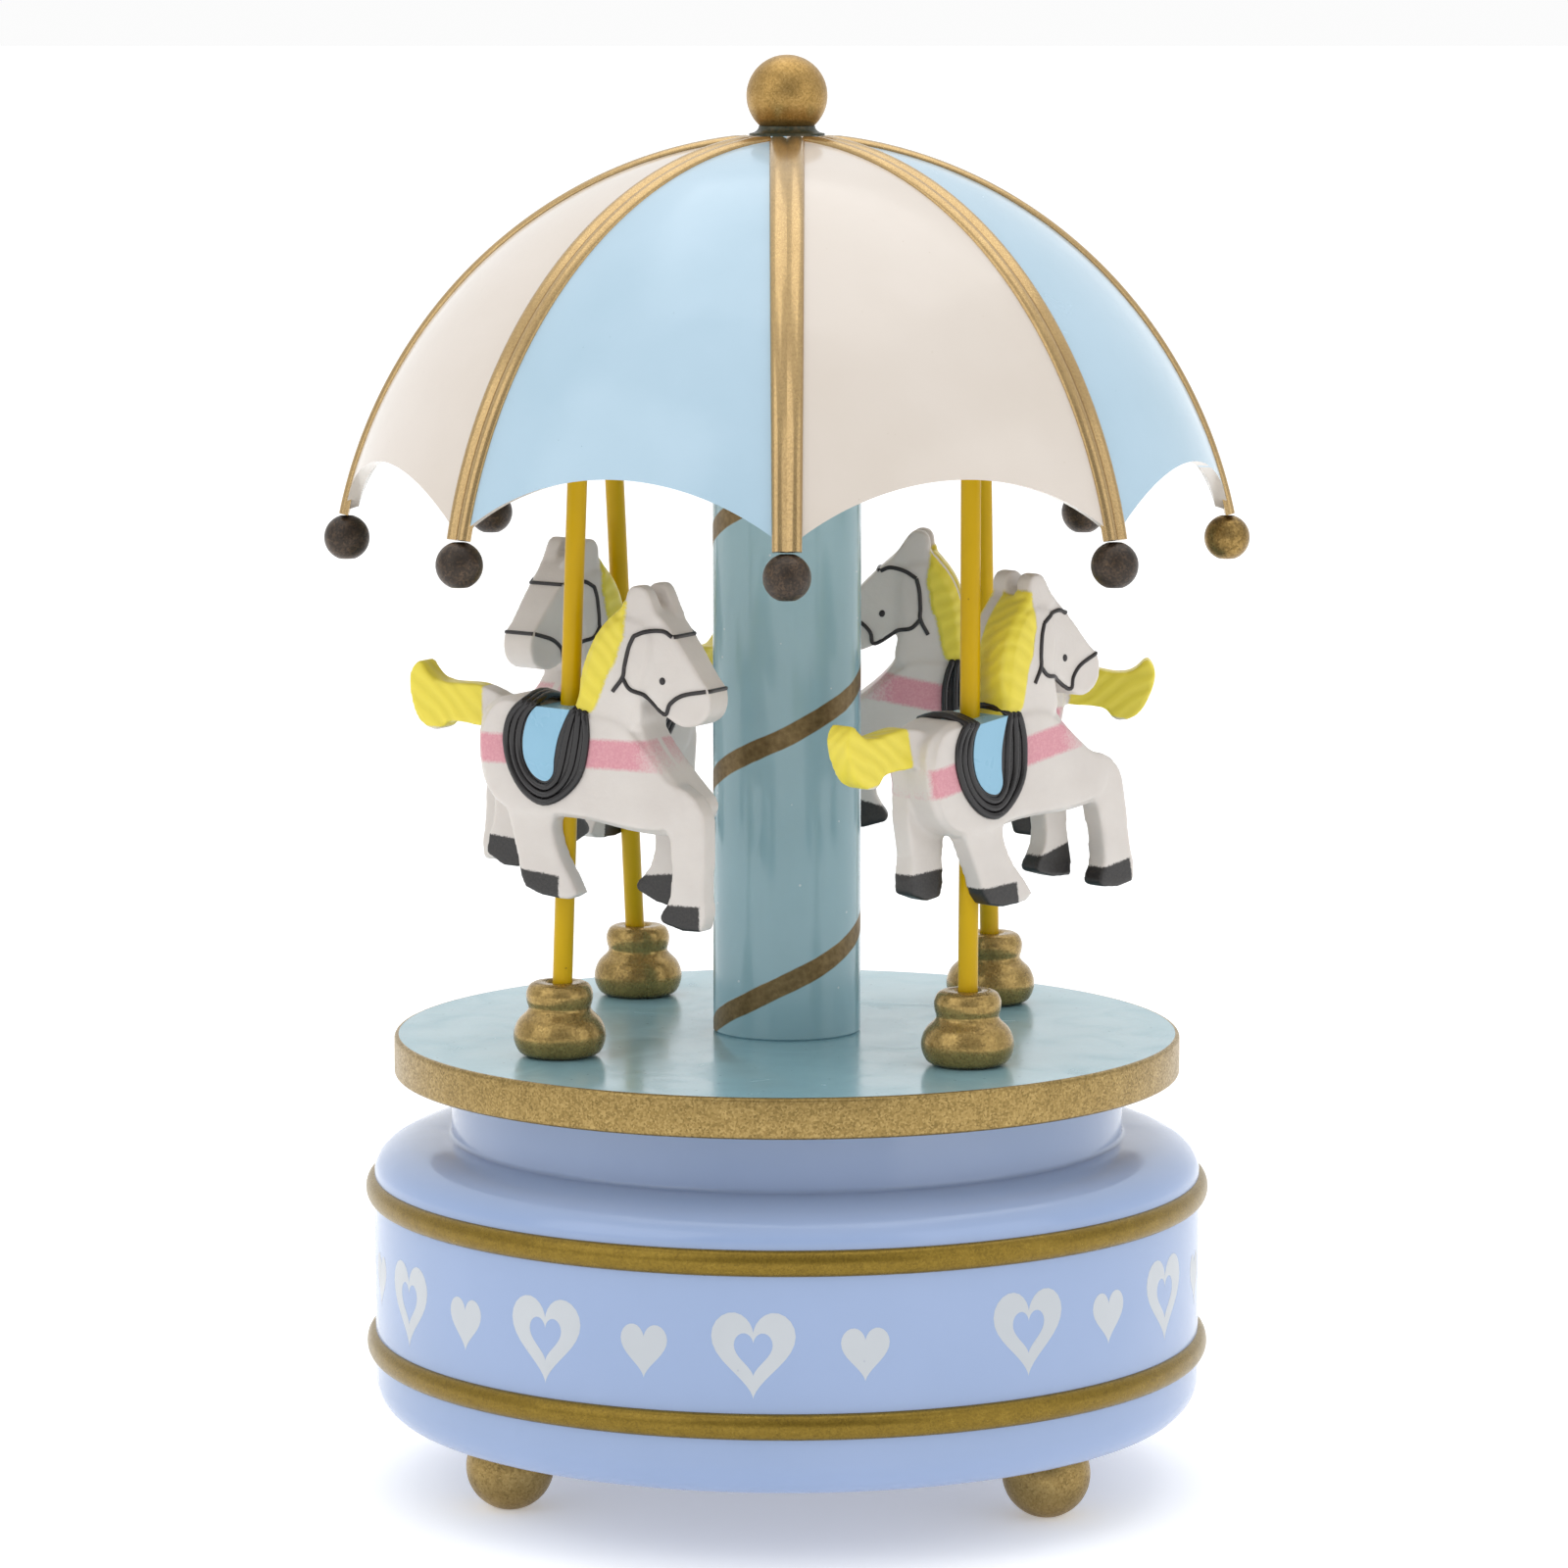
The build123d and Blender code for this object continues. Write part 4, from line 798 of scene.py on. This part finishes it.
def makeSockets():
    # short tubes moulded under the canopy that hold the tops of the poles
    for index in range(1, 5):
        low, high = poleEnds(index)
        radius = hypot(high.x, high.y) + 0.6
        ceiling = domeLevel(innerPanel, radius)
        outer, bore = canopy["socketRadius"], canopy["socketBore"]
        bottom = ceiling - canopy["socketLength"]
        profile = [(bore, bottom), (outer - 0.2, bottom), (outer, bottom + 0.2), (outer, ceiling + 3),
                   (bore, ceiling + 3), (bore, bottom)]
        direction = Vector((high.x, high.y)).normalized()
        socket = turnPiece(f"poleSocket_{index}", profile, 40, at=direction * radius)
        slope = Vector((direction.x * radius / innerPanel[0] ** 2,
                        direction.y * radius / innerPanel[0] ** 2,
                        (ceiling - canopyCentre) / innerPanel[1] ** 2)).normalized()
        seat = Vector((direction.x * radius, direction.y * radius, ceiling)) + slope * 0.5
        pick(socket)
        bpy.ops.object.mode_set(mode="EDIT")
        bpy.ops.mesh.select_all(action="SELECT")
        bpy.ops.mesh.bisect(plane_co=seat * mm, plane_no=slope, clear_outer=True, use_fill=True)
        closeUp(socket)
        finish(socket, "carousel", "canopy_plastic", creamLacquer)


beads = {"count": 8, "flat": 0.93, "hole": 0.9, "steps": 40, "golden": 3}


def makeBeads():
    low, high = boxOf("rim_bead_1")
    radius = (high.x - low.x) / 2
    centre = high.z - radius
    start = -degrees(asin(beads["flat"]))
    end = degrees(asin(sqrt(1 - (beads["hole"] / radius) ** 2)))
    profile = [(0, centre - beads["flat"] * radius)]
    profile += ellipseArc((0, centre), (radius, radius), start, end, 24)
    profile += [(beads["hole"], centre + 1.4), (0, centre + 1.4)]
    pattern = turnPiece("beadPattern", profile, beads["steps"])
    for number in range(1, beads["count"] + 1):
        node = f"rim_bead_{number}"
        low, high = boxOf(node)
        place = Matrix.Translation(Vector(((low.x + high.x) / 2, (low.y + high.y) / 2, 0)) * mm)
        paint = beadGold if number == beads["golden"] else beadBronze
        bead = finish(copyPiece(pattern, f"rimBead_{number}", place), "carousel", "bead_wood", paint)
        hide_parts(node)
    remove(pattern)


def makeFinial():
    collarLow, collarHigh = boxOf("finial_collar")
    ballLow, ballHigh = boxOf("finial_ball")
    foot, top = collarHigh.x, collarHigh.x - 1.2
    profile = [(0, collarLow.z), (foot, collarLow.z)]
    hollow = (foot - top, collarHigh.z - collarLow.z - 0.3)
    profile += ellipseArc((foot, collarHigh.z), hollow, -90, -180, 6)
    profile += [(0, collarHigh.z)]
    collar = finish(turnPiece("finialCollar", profile, 64), "carousel", "dark_collar", collarPaint)
    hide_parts("finial_collar")
    radius = ballHigh.x
    centre = ballHigh.z - radius
    start = degrees(asin((ballLow.z - centre) / radius))
    profile = [(0, ballLow.z)] + ellipseArc((0, centre), (radius, radius), start, 90, 40)
    ball = finish(turnPiece("finialBall", profile, 80), "carousel", "gold_paint", ballBronze)
    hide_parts("finial_ball")


makeCanopy()
makeRibs()
makeSockets()
makeBeads()
makeFinial()
print("stage: canopy, ribs, beads and finial")


poles = {"radius": 1.22, "edge": 0.2, "rings": 14}
# (radius, share of the height) from the foot up over belly, waist and upper bead
cups = {"outline": ((3.9, 0.0), (5.0, 0.06), (5.62, 0.2), (5.66, 0.34), (5.1, 0.49), (4.1, 0.6),
                    (3.84, 0.66), (4.06, 0.75), (4.1, 0.86), (3.7, 0.96), (3.1, 1.0)),
        "bore": 1.3, "steps": 64}


def makePole(index):
    low, high = poleEnds(index)
    axis = high - low
    deselectAll()
    bpy.ops.mesh.primitive_cylinder_add(vertices=32, radius=poles["radius"] * mm, depth=axis.length * mm)
    pole = bpy.context.object
    pole.name = pole.data.name = f"pole_rod_{index}"
    bpy.ops.object.mode_set(mode="EDIT")
    for ring in range(1, poles["rings"]):
        bpy.ops.mesh.select_all(action="SELECT")
        level = (ring / poles["rings"] - 0.5) * axis.length * mm
        bpy.ops.mesh.bisect(plane_co=(0, 0, level), plane_no=(0, 0, 1))
    bpy.ops.object.mode_set(mode="OBJECT")
    # hand-cut rod: very slightly out of true between its ends
    for vertex in pole.data.vertices:
        share = vertex.co.z / (axis.length * mm) + 0.5
        vertex.co.x += 0.05 * mm * sin(2 * pi * share + index)
    lean = axis.to_track_quat("Z", "Y").to_matrix().to_4x4()
    pole.matrix_world = Matrix.Translation((low + high) / 2 * mm) @ lean
    pick(pole)
    bpy.ops.object.transform_apply(location=True, rotation=True, scale=True)
    bpy.ops.object.shade_smooth_by_angle(angle=radians(40))
    finish(pole, "carousel", "pole_paint", poleLacquer)
    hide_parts(f"pole_{index}")


def makeCup(index):
    low, high = boxOf(f"pole_cup_{index}")
    height = high.z - low.z
    outline = smoothPath([(radius, low.z + share * height) for radius, share in cups["outline"]], 5)
    profile = [(cups["bore"], low.z)] + [tuple(point) for point in outline]
    profile += [(cups["bore"] + 0.5, high.z), (cups["bore"] + 0.2, high.z - 0.4),
                (cups["bore"], high.z - 0.9), (cups["bore"], low.z)]
    place = ((low.x + high.x) / 2, (low.y + high.y) / 2)
    cup = turnPiece(f"poleCup_{index}", profile, cups["steps"], at=place, smoothAngle=55)
    finish(cup, "carousel", "gold_paint", cupBronze)
    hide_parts(f"pole_cup_{index}")


for poleNumber in range(1, 5):
    makePole(poleNumber)
    makeCup(poleNumber)
print("stage: poles and cups")


# side view, nose towards +X, the pole entering the saddle at the origin
horse = {
    "voxel": 0.3, "smoothing": 8, "size": 0.9605,
    "headings": (-27.0, 42.0, 177.0, 230.0), "saddleHeights": (43.4, 42.4, 44.0, 44.0),
    "pitches": (0.0, 11.0, 11.0, 6.0),
    "core": ((-8.5, 1.2), (-5.0, 1.5), (-2.0, -0.3), (1.6, -0.4), (3.2, 1.4), (3.8, 5.4), (5.8, 9.8),
             (8.6, 12.7), (11.4, 14.2), (13.9, 13.2), (17.0, 9.4), (19.8, 5.2), (21.3, 3.0), (21.2, 0.6),
             (19.9, -0.9), (17.4, -1.3), (14.6, 0.4), (12.6, 2.2), (12.0, -1.2), (13.6, -4.4),
             (17.0, -8.4), (19.6, -11.6), (17.6, -14.8), (12.0, -15.0), (4.0, -13.8), (-2.0, -13.6),
             (-7.0, -13.2), (-10.4, -10.4), (-11.5, -5.6), (-10.9, -0.8)),
    "coreHalf": 3.5,
    "barrel": ((-10.8, -3.4), (-8.6, 0.6), (-5.0, 0.9), (-1.6, -0.9), (2.4, -0.9), (7.6, -0.8),
               (11.2, -2.6), (15.6, -7.6), (18.4, -11.2), (17.0, -14.0), (11.6, -14.4), (4.0, -13.3),
               (-2.0, -13.1), (-7.0, -12.6), (-10.0, -9.8)),
    "barrelHalf": 4.3,
    "neck": ((3.4, -1.6), (4.3, 3.6), (6.2, 8.8), (9.2, 11.8), (12.6, 11.2), (13.2, 7.6), (12.0, 3.4),
             (11.6, -1.6)),
    "neckHalf": 4.0,
    "cheek": ((10.6, 11.2), (13.8, 12.2), (17.0, 8.8), (19.6, 5.2), (19.4, 1.6), (16.4, 0.6), (13.4, 2.6),
              (11.0, 4.2), (10.3, 7.0)),
    "cheekHalf": 3.3,
    "ears": (((9.9, 11.2), (9.9, 14.6), (10.8, 16.2), (12.6, 16.0), (13.9, 13.4), (14.2, 12.0)),
             ((10.3, 11.2), (10.3, 14.6), (11.2, 16.2), (13.0, 16.0), (14.3, 13.4), (14.6, 12.0))),
    "earSpread": 1.1, "earThickness": 2.6,
    "tail": ((-8.4, 0.4), (-12.4, 2.4), (-17.4, 2.6), (-19.6, 3.4), (-21.2, 5.2), (-22.7, 3.0),
             (-22.0, -1.2), (-20.4, -3.2), (-18.4, -3.6), (-16.4, -2.4), (-10.6, -2.8)),
    "tailHalf": 1.6,
    # where a taper starts, over what length, and how much it takes off or adds
    "muzzleTaper": (11.0, 9.0, -0.26), "muzzleFloor": -2.5, "tailFlare": (11.0, 11.0, 0.25),
    "nearLegs": (((14.6, -8.6), (18.6, -9.2), (20.8, -11.4), (21.4, -14.0), (21.2, -22.0), (20.9, -27.0),
                  (15.2, -26.2), (15.3, -24.6), (16.4, -22.6), (16.4, -16.0)),
                 ((-7.4, -9.5), (-0.4, -10.0), (-0.6, -15.0), (0.6, -19.0), (3.0, -23.4), (0.0, -24.0),
                  (-4.6, -22.8), (-5.6, -19.0), (-6.6, -15.0))),
    "farLegs": (((10.6, -12.0), (16.4, -12.0), (15.4, -17.0), (15.0, -20.6), (14.6, -25.0), (9.0, -23.0),
                 (9.3, -21.6), (10.9, -19.8), (11.6, -16.0)),
                ((-11.2, -6.0), (-6.0, -10.0), (-7.0, -16.5), (-8.2, -21.2), (-13.0, -19.6),
                 (-12.0, -15.0))),
    "legInner": 0.9, "legOuter": 4.1,
    "mane": ((9.8, 14.6), (5.0, 12.0), (2.2, 7.4), (1.0, 3.4), (1.2, 0.0), (3.4, -0.3), (5.4, 0.2),
             (6.4, 2.0), (7.6, 5.0), (8.6, 6.4), (9.3, 8.6), (9.9, 9.8), (10.0, 12.4)),
    # the white parting along the crest lies between these distances from the middle
    "maneRaise": 0.3, "parting": (1.5, 3.2),
    "band": (-7.0, -3.3, -11.2, 13.6), "tailEdge": (-12.0, -3.3),
    # each hoof: side, back and front of the painted stretch, level of its top, and the slope of that edge
    "hooves": ((1, 14.0, 20.6, -23.8, 0.0), (-1, 8.0, 17.0, -21.2, 0.1), (1, -6.5, 0.4, -20.3, -0.12),
               (-1, -14.2, -7.2, -16.9, -0.1)),
    # the same number of points outside and inside, so that ridges can be drawn between them
    "saddle": ((-4.6, 1.0), (-5.8, 0.0), (-6.8, -1.6), (-7.2, -4.2), (-6.4, -7.6), (-4.4, -10.6),
               (-1.6, -12.0), (1.5, -10.8), (4.0, -8.2), (5.0, -4.4), (5.0, -1.8), (4.6, -0.2)),
    "seat": ((-2.4, 0.5), (-3.2, -0.3), (-3.9, -1.6), (-4.4, -3.8), (-4.2, -6.2), (-3.0, -8.2),
             (-1.2, -9.0), (-0.1, -8.0), (0.1, -6.0), (0.6, -3.6), (1.4, -1.6), (2.4, 0.3)),
    "ridges": (0.1, 0.42, 0.74), "ridgeRadius": 0.5, "archRise": 0.9,
    "bridle": (((16.2, 10.0), (15.0, 10.7), (12.9, 10.6), (11.3, 10.0)),
               ((11.3, 10.0), (10.6, 8.5), (10.0, 6.2), (9.7, 4.7), (8.3, 2.9)),
               ((9.7, 4.7), (10.7, 3.3), (12.4, 2.6), (13.8, 1.2), (15.3, 0.2), (16.0, 1.6), (17.7, 2.7),
                (20.8, 3.3))),
    "frontLines": (10.0, 3.3),
    "bridleRadius": 0.28, "eye": (14.9, 4.4), "eyeRadius": 0.42,
}


def outlineDistance(point, outline):
    # distance from a side-view point to a closed outline, positive inside
    inside, nearest = False, 1e9
    count = len(outline)
    for index in range(count):
        start, end = Vector(outline[index]), Vector(outline[(index + 1) % count])
        edge = end - start
        share = max(0.0, min(1.0, (point - start).dot(edge) / edge.length_squared))
        nearest = min(nearest, (point - start - edge * share).length)
        if (start.y > point.y) != (end.y > point.y):
            inside ^= point.x < start.x + (point.y - start.y) * edge.x / edge.y
    return nearest if inside else -nearest


def makeHorseBody():
    parts = [plate("horseCore", horse["core"], -horse["coreHalf"], horse["coreHalf"]),
             plate("horseBarrel", horse["barrel"], -horse["barrelHalf"], horse["barrelHalf"]),
             plate("horseNeck", horse["neck"], -horse["neckHalf"], horse["neckHalf"]),
             plate("horseCheek", horse["cheek"], -horse["cheekHalf"], horse["cheekHalf"]),
             plate("horseTail", horse["tail"], -horse["tailHalf"], horse["tailHalf"])]
    for side, outline in zip((-1, 1), horse["ears"]):
        near, far = side * horse["earSpread"], side * (horse["earSpread"] + horse["earThickness"])
        parts.append(plate("horseEar", outline, min(near, far), max(near, far)))
    for side, legs in ((-1, horse["nearLegs"]), (1, horse["farLegs"])):
        near, far = side * horse["legInner"], side * horse["legOuter"]
        for leg in legs:
            parts.append(plate("horseLeg", leg, min(near, far), max(near, far), curveSteps=2))
    body = joinAll("horsePattern", parts)
    useModifier(body, "REMESH", mode="VOXEL", voxel_size=horse["voxel"] * mm, use_smooth_shade=True)
    useModifier(body, "SMOOTH", factor=0.5, iterations=horse["smoothing"])
    mesh = body.data
    # the muzzle narrows forwards and the tail widens backwards
    muzzleStart, muzzleLength, muzzleShare = horse["muzzleTaper"]
    tailStart, tailLength, tailShare = horse["tailFlare"]
    for vertex in mesh.vertices:
        x, z = vertex.co.x / mm, vertex.co.z / mm
        if x > muzzleStart and z > horse["muzzleFloor"]:
            vertex.co.y *= 1 + muzzleShare * min(1, (x - muzzleStart) / muzzleLength)
        if x < -tailStart:
            vertex.co.y *= 1 + tailShare * min(1, (-tailStart - x) / tailLength)
    for name, kind in (("horsePlace", "FLOAT_VECTOR"), ("bandEdge", "FLOAT"), ("maneEdge", "FLOAT"),
                       ("hoofEdge", "FLOAT")):
        mesh.attributes.new(name, kind, "POINT")
    # read again once all are there, as adding one moves the others
    place, band = mesh.attributes["horsePlace"], mesh.attributes["bandEdge"]
    mane, hoof = mesh.attributes["maneEdge"], mesh.attributes["hoofEdge"]
    unpainted = -3.0  # a distance well outside every paint edge
    maneCurve = smoothLoop(horse["mane"], 3)
    bandLow, bandHigh, bandBack, bandFront = horse["band"]
    normals = [Vector(normal.vector) for normal in mesh.vertex_normals]
    for index, vertex in enumerate(mesh.vertices):
        spot = vertex.co / mm
        side = Vector((spot.x, spot.z))
        place.data[index].vector = spot
        onFlank = min(0.0, abs(spot.y) - 1.6)
        band.data[index].value = min(spot.z - bandLow, bandHigh - spot.z, spot.x - bandBack,
                                     (bandFront - spot.x) * 0.12, onFlank + 1.0)
        edge = outlineDistance(side, maneCurve) if 0 < spot.x < 11 and spot.z > -4 else unpainted
        edge = min(edge, max(horse["parting"][0] - spot.y, spot.y - horse["parting"][1]))
        tailEdge = min(horse["tailEdge"][0] - spot.x, spot.z - horse["tailEdge"][1])
        mane.data[index].value = max(edge, tailEdge, unpainted)
        value = unpainted
        for hoofSide, left, right, level, slope in horse["hooves"]:
            if spot.y * hoofSide < 0:
                edgeLevel = level + slope * (spot.x - left)
                value = max(value, min(edgeLevel - spot.z, spot.x - left, right - spot.x))
        hoof.data[index].value = value
    for index, vertex in enumerate(mesh.vertices):
        raised = max(0.0, min(1.0, mane.data[index].value / 0.35))
        if vertex.co.x > 0:
            vertex.co += normals[index] * raised * horse["maneRaise"] * mm
    return body


def onSide(body, x, z, side, lift):
    # where a line from the side meets the body, in millimetres
    hit, spot, normal, index = body.ray_cast((x * mm, side * 12 * mm, z * mm), (0, -side, 0))
    return Vector((x, spot.y / mm + side * lift, z)) if hit else None


def onFront(body, y, z):
    # where a line from the front meets the face
    hit, spot, normal, index = body.ray_cast((30 * mm, y * mm, z * mm), (-1, 0, 0))
    return spot / mm if hit else None


def makeHorse():
    body = makeHorseBody()
    bpy.context.view_layer.update()
    saddleParts, bridleParts = [], []
    reach = horse["barrelHalf"]
    outer, inner = smoothPath(horse["saddle"], 4), smoothPath(horse["seat"], 4)
    for side in (-1, 1):
        flap = sorted((side * (reach - 1.2), side * (reach + 0.2)))
        saddleParts.append(plate("saddlePad", outer + inner[::-1], *flap, curveSteps=1))
    seat = plate("seatPattern", inner, -reach - 0.3, reach + 0.3, curveSteps=1)
    # ridges run down one flap, up again, and arch over the back before and behind the seat
    for share in horse["ridges"]:
        ring = []
        for side in (-1, 1):
            row = [out.lerp(into, share) for out, into in zip(outer, inner)][::-side]
            ring += [Vector((point.x, side * (reach + 0.1), point.y)) for point in row]
            end, width = row[-1], reach - 0.2
            for step in (-0.8, -0.4, 0.0, 0.4, 0.8):
                across = -side * step * width
                ring.append(Vector((end.x, across, end.y + horse["archRise"] * (1 - step * step))))
        saddleParts.append(tube("saddleRidge", ring, horse["ridgeRadius"], closed=True))
    for side in (-1, 1):
        for line in horse["bridle"]:
            spots = [onSide(body, point[0], point[1], side, 0.02) for point in smoothPath(line, 5)]
            bridleParts.append(tube("bridleLine", [spot for spot in spots if spot],
                                    horse["bridleRadius"], sides=2))
        spot = onSide(body, *horse["eye"], side, 0.0)
        deselectAll()
        bpy.ops.mesh.primitive_uv_sphere_add(segments=16, ring_count=10, radius=horse["eyeRadius"] * mm,
                                             location=spot * mm)
        bpy.ops.object.mode_set(mode="EDIT")
        bpy.ops.transform.resize(value=(1.0, 0.45, 1.15))
        bpy.ops.object.mode_set(mode="OBJECT")
        bpy.ops.object.transform_apply(location=True, rotation=True, scale=True)
        bridleParts.append(bpy.context.object)
    for level in horse["frontLines"]:
        middle = onFront(body, 0, level)
        spots = [onFront(body, y * 0.4, level) for y in range(-9, 10)]
        spots = [spot for spot in spots if spot and middle.x - spot.x < 0.9]
        bridleParts.append(tube("bridleFront", spots, horse["bridleRadius"], sides=2))
    saddle = joinAll("saddlePattern", saddleParts)
    bridle = joinAll("bridlePattern", bridleParts)
    patterns = {"horseBody": (body, horsePaint), "horseSaddle": (saddle, saddlePaint),
                "horseSeat": (seat, seatPaint), "horseBridle": (bridle, bridleInk)}
    for index in range(1, 5):
        low, high = poleEnds(index)
        level = tableHigh.z + horse["saddleHeights"][index - 1]
        at = low + (high - low) * ((level - low.z) / (high.z - low.z))
        heading = Matrix.Rotation(radians(horse["headings"][index - 1]), 4, "Z")
        pitch = Matrix.Rotation(-radians(horse["pitches"][index - 1]), 4, "Y")
        place = Matrix.Translation(at * mm) @ heading @ pitch @ Matrix.Scale(horse["size"], 4)
        for name, (pattern, material) in patterns.items():
            piece = copyPiece(pattern, f"{name}_{index}", place)
            finish(piece, "carousel", "horse_plastic", material)
            if name == "horseBody":
                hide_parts(f"horse_{index}")
    remove(body, saddle, seat, bridle)


makeHorse()
print("stage: horses")


nodeFinishes = {
    coverAbs: ("bottom_cover",),
    birch: ("column_foot_plug", "column_head_plug"),
    screwSteel: ("cover_screws", "foot_screws", "movement_screws", "housing_screws", "comb_screws",
                 "bracket_screws", "hub_screws"),
    rolledBrass: ("neck_bush", "music_cylinder", "governor_bracket", "cylinder_pinion", "governor_pinion",
                  "drive_wheel"),
    castZinc: ("movement_bedplate", "hub_plate"),
    blueSteel: ("mainspring", "spring_housing", "comb"),
    turnedSteel: ("winding_arbor", "cylinder_shaft", "governor_shaft", "finial_pin", "governor_worm"),
    brakeNylon: ("cylinder_gear", "worm_wheel", "air_brake"),
}
for material, nodes in nodeFinishes.items():
    for node in nodes:
        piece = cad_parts[node]
        for slotNumber in range(max(1, len(piece.data.materials))):
            if piece.data.materials:
                piece.data.materials[slotNumber] = material
            else:
                piece.data.materials.append(material)
print("stage: works finished")


studio = {"distance": 763.4, "height": 185.6, "pitch": 7.227,
          "lens": 140.33, "sensor": 36.0, "shift": -0.001875,
          "floor": 60000.0, "floorColour": "#f6f6f6", "floorGlow": 0.3, "backdrop": 0.97,
          # brightness of the room in front of and behind the model, and what the horizon adds
          "roomFront": 0.22, "roomBack": 0.93, "horizon": 0.26, "ceiling": 0.62,
          # name, place, width and power of each lamp
          "lamps": (("keySoftbox", (-760, -640, 620), 900, 2.7),
                    ("fillSoftbox", (820, -560, 420), 800, 1.6),
                    ("topSoftbox", (60, 160, 1000), 900, 2.2))}


def makeStudio():
    deselectAll()
    bpy.ops.object.camera_add(location=Vector((0, -studio["distance"], studio["height"])) * mm,
                              rotation=(radians(90 - studio["pitch"]), 0, 0))
    camera = bpy.context.object
    camera.data.lens = studio["lens"]
    camera.data.sensor_width = studio["sensor"]
    camera.data.shift_x = studio["shift"]
    camera.data.clip_start = 0.01
    bpy.context.scene.camera = camera
    deselectAll()
    bpy.ops.mesh.primitive_plane_add(size=studio["floor"] * mm)
    floor = bpy.context.object
    floor.name = "studioFloor"
    paper = newMaterial("studioPaper")
    # matt paper with a barely visible tooth
    place = addNode(paper, "TexCoord").outputs["Object"]
    tooth = addNode(paper, "TexNoise", {"Vector": place, "Scale": perMm(2.0), "Detail": 2})
    bump = addNode(paper, "Bump", {"Height": tooth.outputs["Fac"], "Strength": 0.04, "Distance": 0.05 * mm})
    finishMaterial(paper, {"Base Color": linear(studio["floorColour"]), "Roughness": 0.9,
                           "Emission Color": (1, 1, 1, 1), "Emission Strength": studio["floorGlow"],
                           "Normal": bump.outputs["Normal"]})
    floor.data.materials.append(paper)
    for name, spot, size, power in studio["lamps"]:
        deselectAll()
        bpy.ops.object.light_add(type="AREA", location=Vector(spot) * mm)
        lamp = bpy.context.object
        lamp.name = name
        lamp.data.shape = "RECTANGLE"
        lamp.data.size = lamp.data.size_y = size * mm
        lamp.data.energy = power
        aim = Vector((0, 0, 100)) - Vector(spot)
        lamp.rotation_euler = aim.to_track_quat("-Z", "Y").to_euler()
    world = bpy.data.worlds.new("studioWorld")
    world.use_nodes = True
    world.node_tree.nodes.clear()
    ways = addNode(world, "SeparateXYZ", {"Vector": addNode(world, "TexCoord").outputs["Generated"]})
    depth = addNode(world, "MapRange", {"Value": ways.outputs["Y"], "From Min": -1.0, "From Max": 1.0,
                                        "To Min": studio["roomFront"], "To Max": studio["roomBack"]})
    height = addNode(world, "Math", {0: ways.outputs["Z"]}, operation="ABSOLUTE")
    glow = addNode(world, "MapRange", {"Value": height.outputs[0], "From Min": 0.0, "From Max": 0.45,
                                       "To Min": studio["horizon"], "To Max": 0.0})
    above = addNode(world, "MapRange", {"Value": ways.outputs["Z"], "From Min": 0.3, "From Max": 1.0,
                                        "To Min": 0.0, "To Max": studio["ceiling"]})
    level = addNode(world, "Math", {0: depth.outputs["Result"], 1: glow.outputs["Result"]}, operation="ADD")
    total = addNode(world, "Math", {0: level.outputs[0], 1: above.outputs["Result"]}, operation="ADD")
    room = addNode(world, "Background", {"Color": (1, 1, 1, 1), "Strength": total.outputs[0]})
    seen = addNode(world, "Background", {"Color": (1, 1, 1, 1), "Strength": studio["backdrop"]})
    path = addNode(world, "LightPath")
    mix = addNode(world, "MixShader", {0: path.outputs["Is Camera Ray"], 1: room.outputs[0],
                                       2: seen.outputs[0]})
    addNode(world, "OutputWorld", {"Surface": mix.outputs[0]})
    bpy.context.scene.world = world
    bpy.context.scene.view_settings.view_transform = "Standard"


makeStudio()
print("stage: studio")
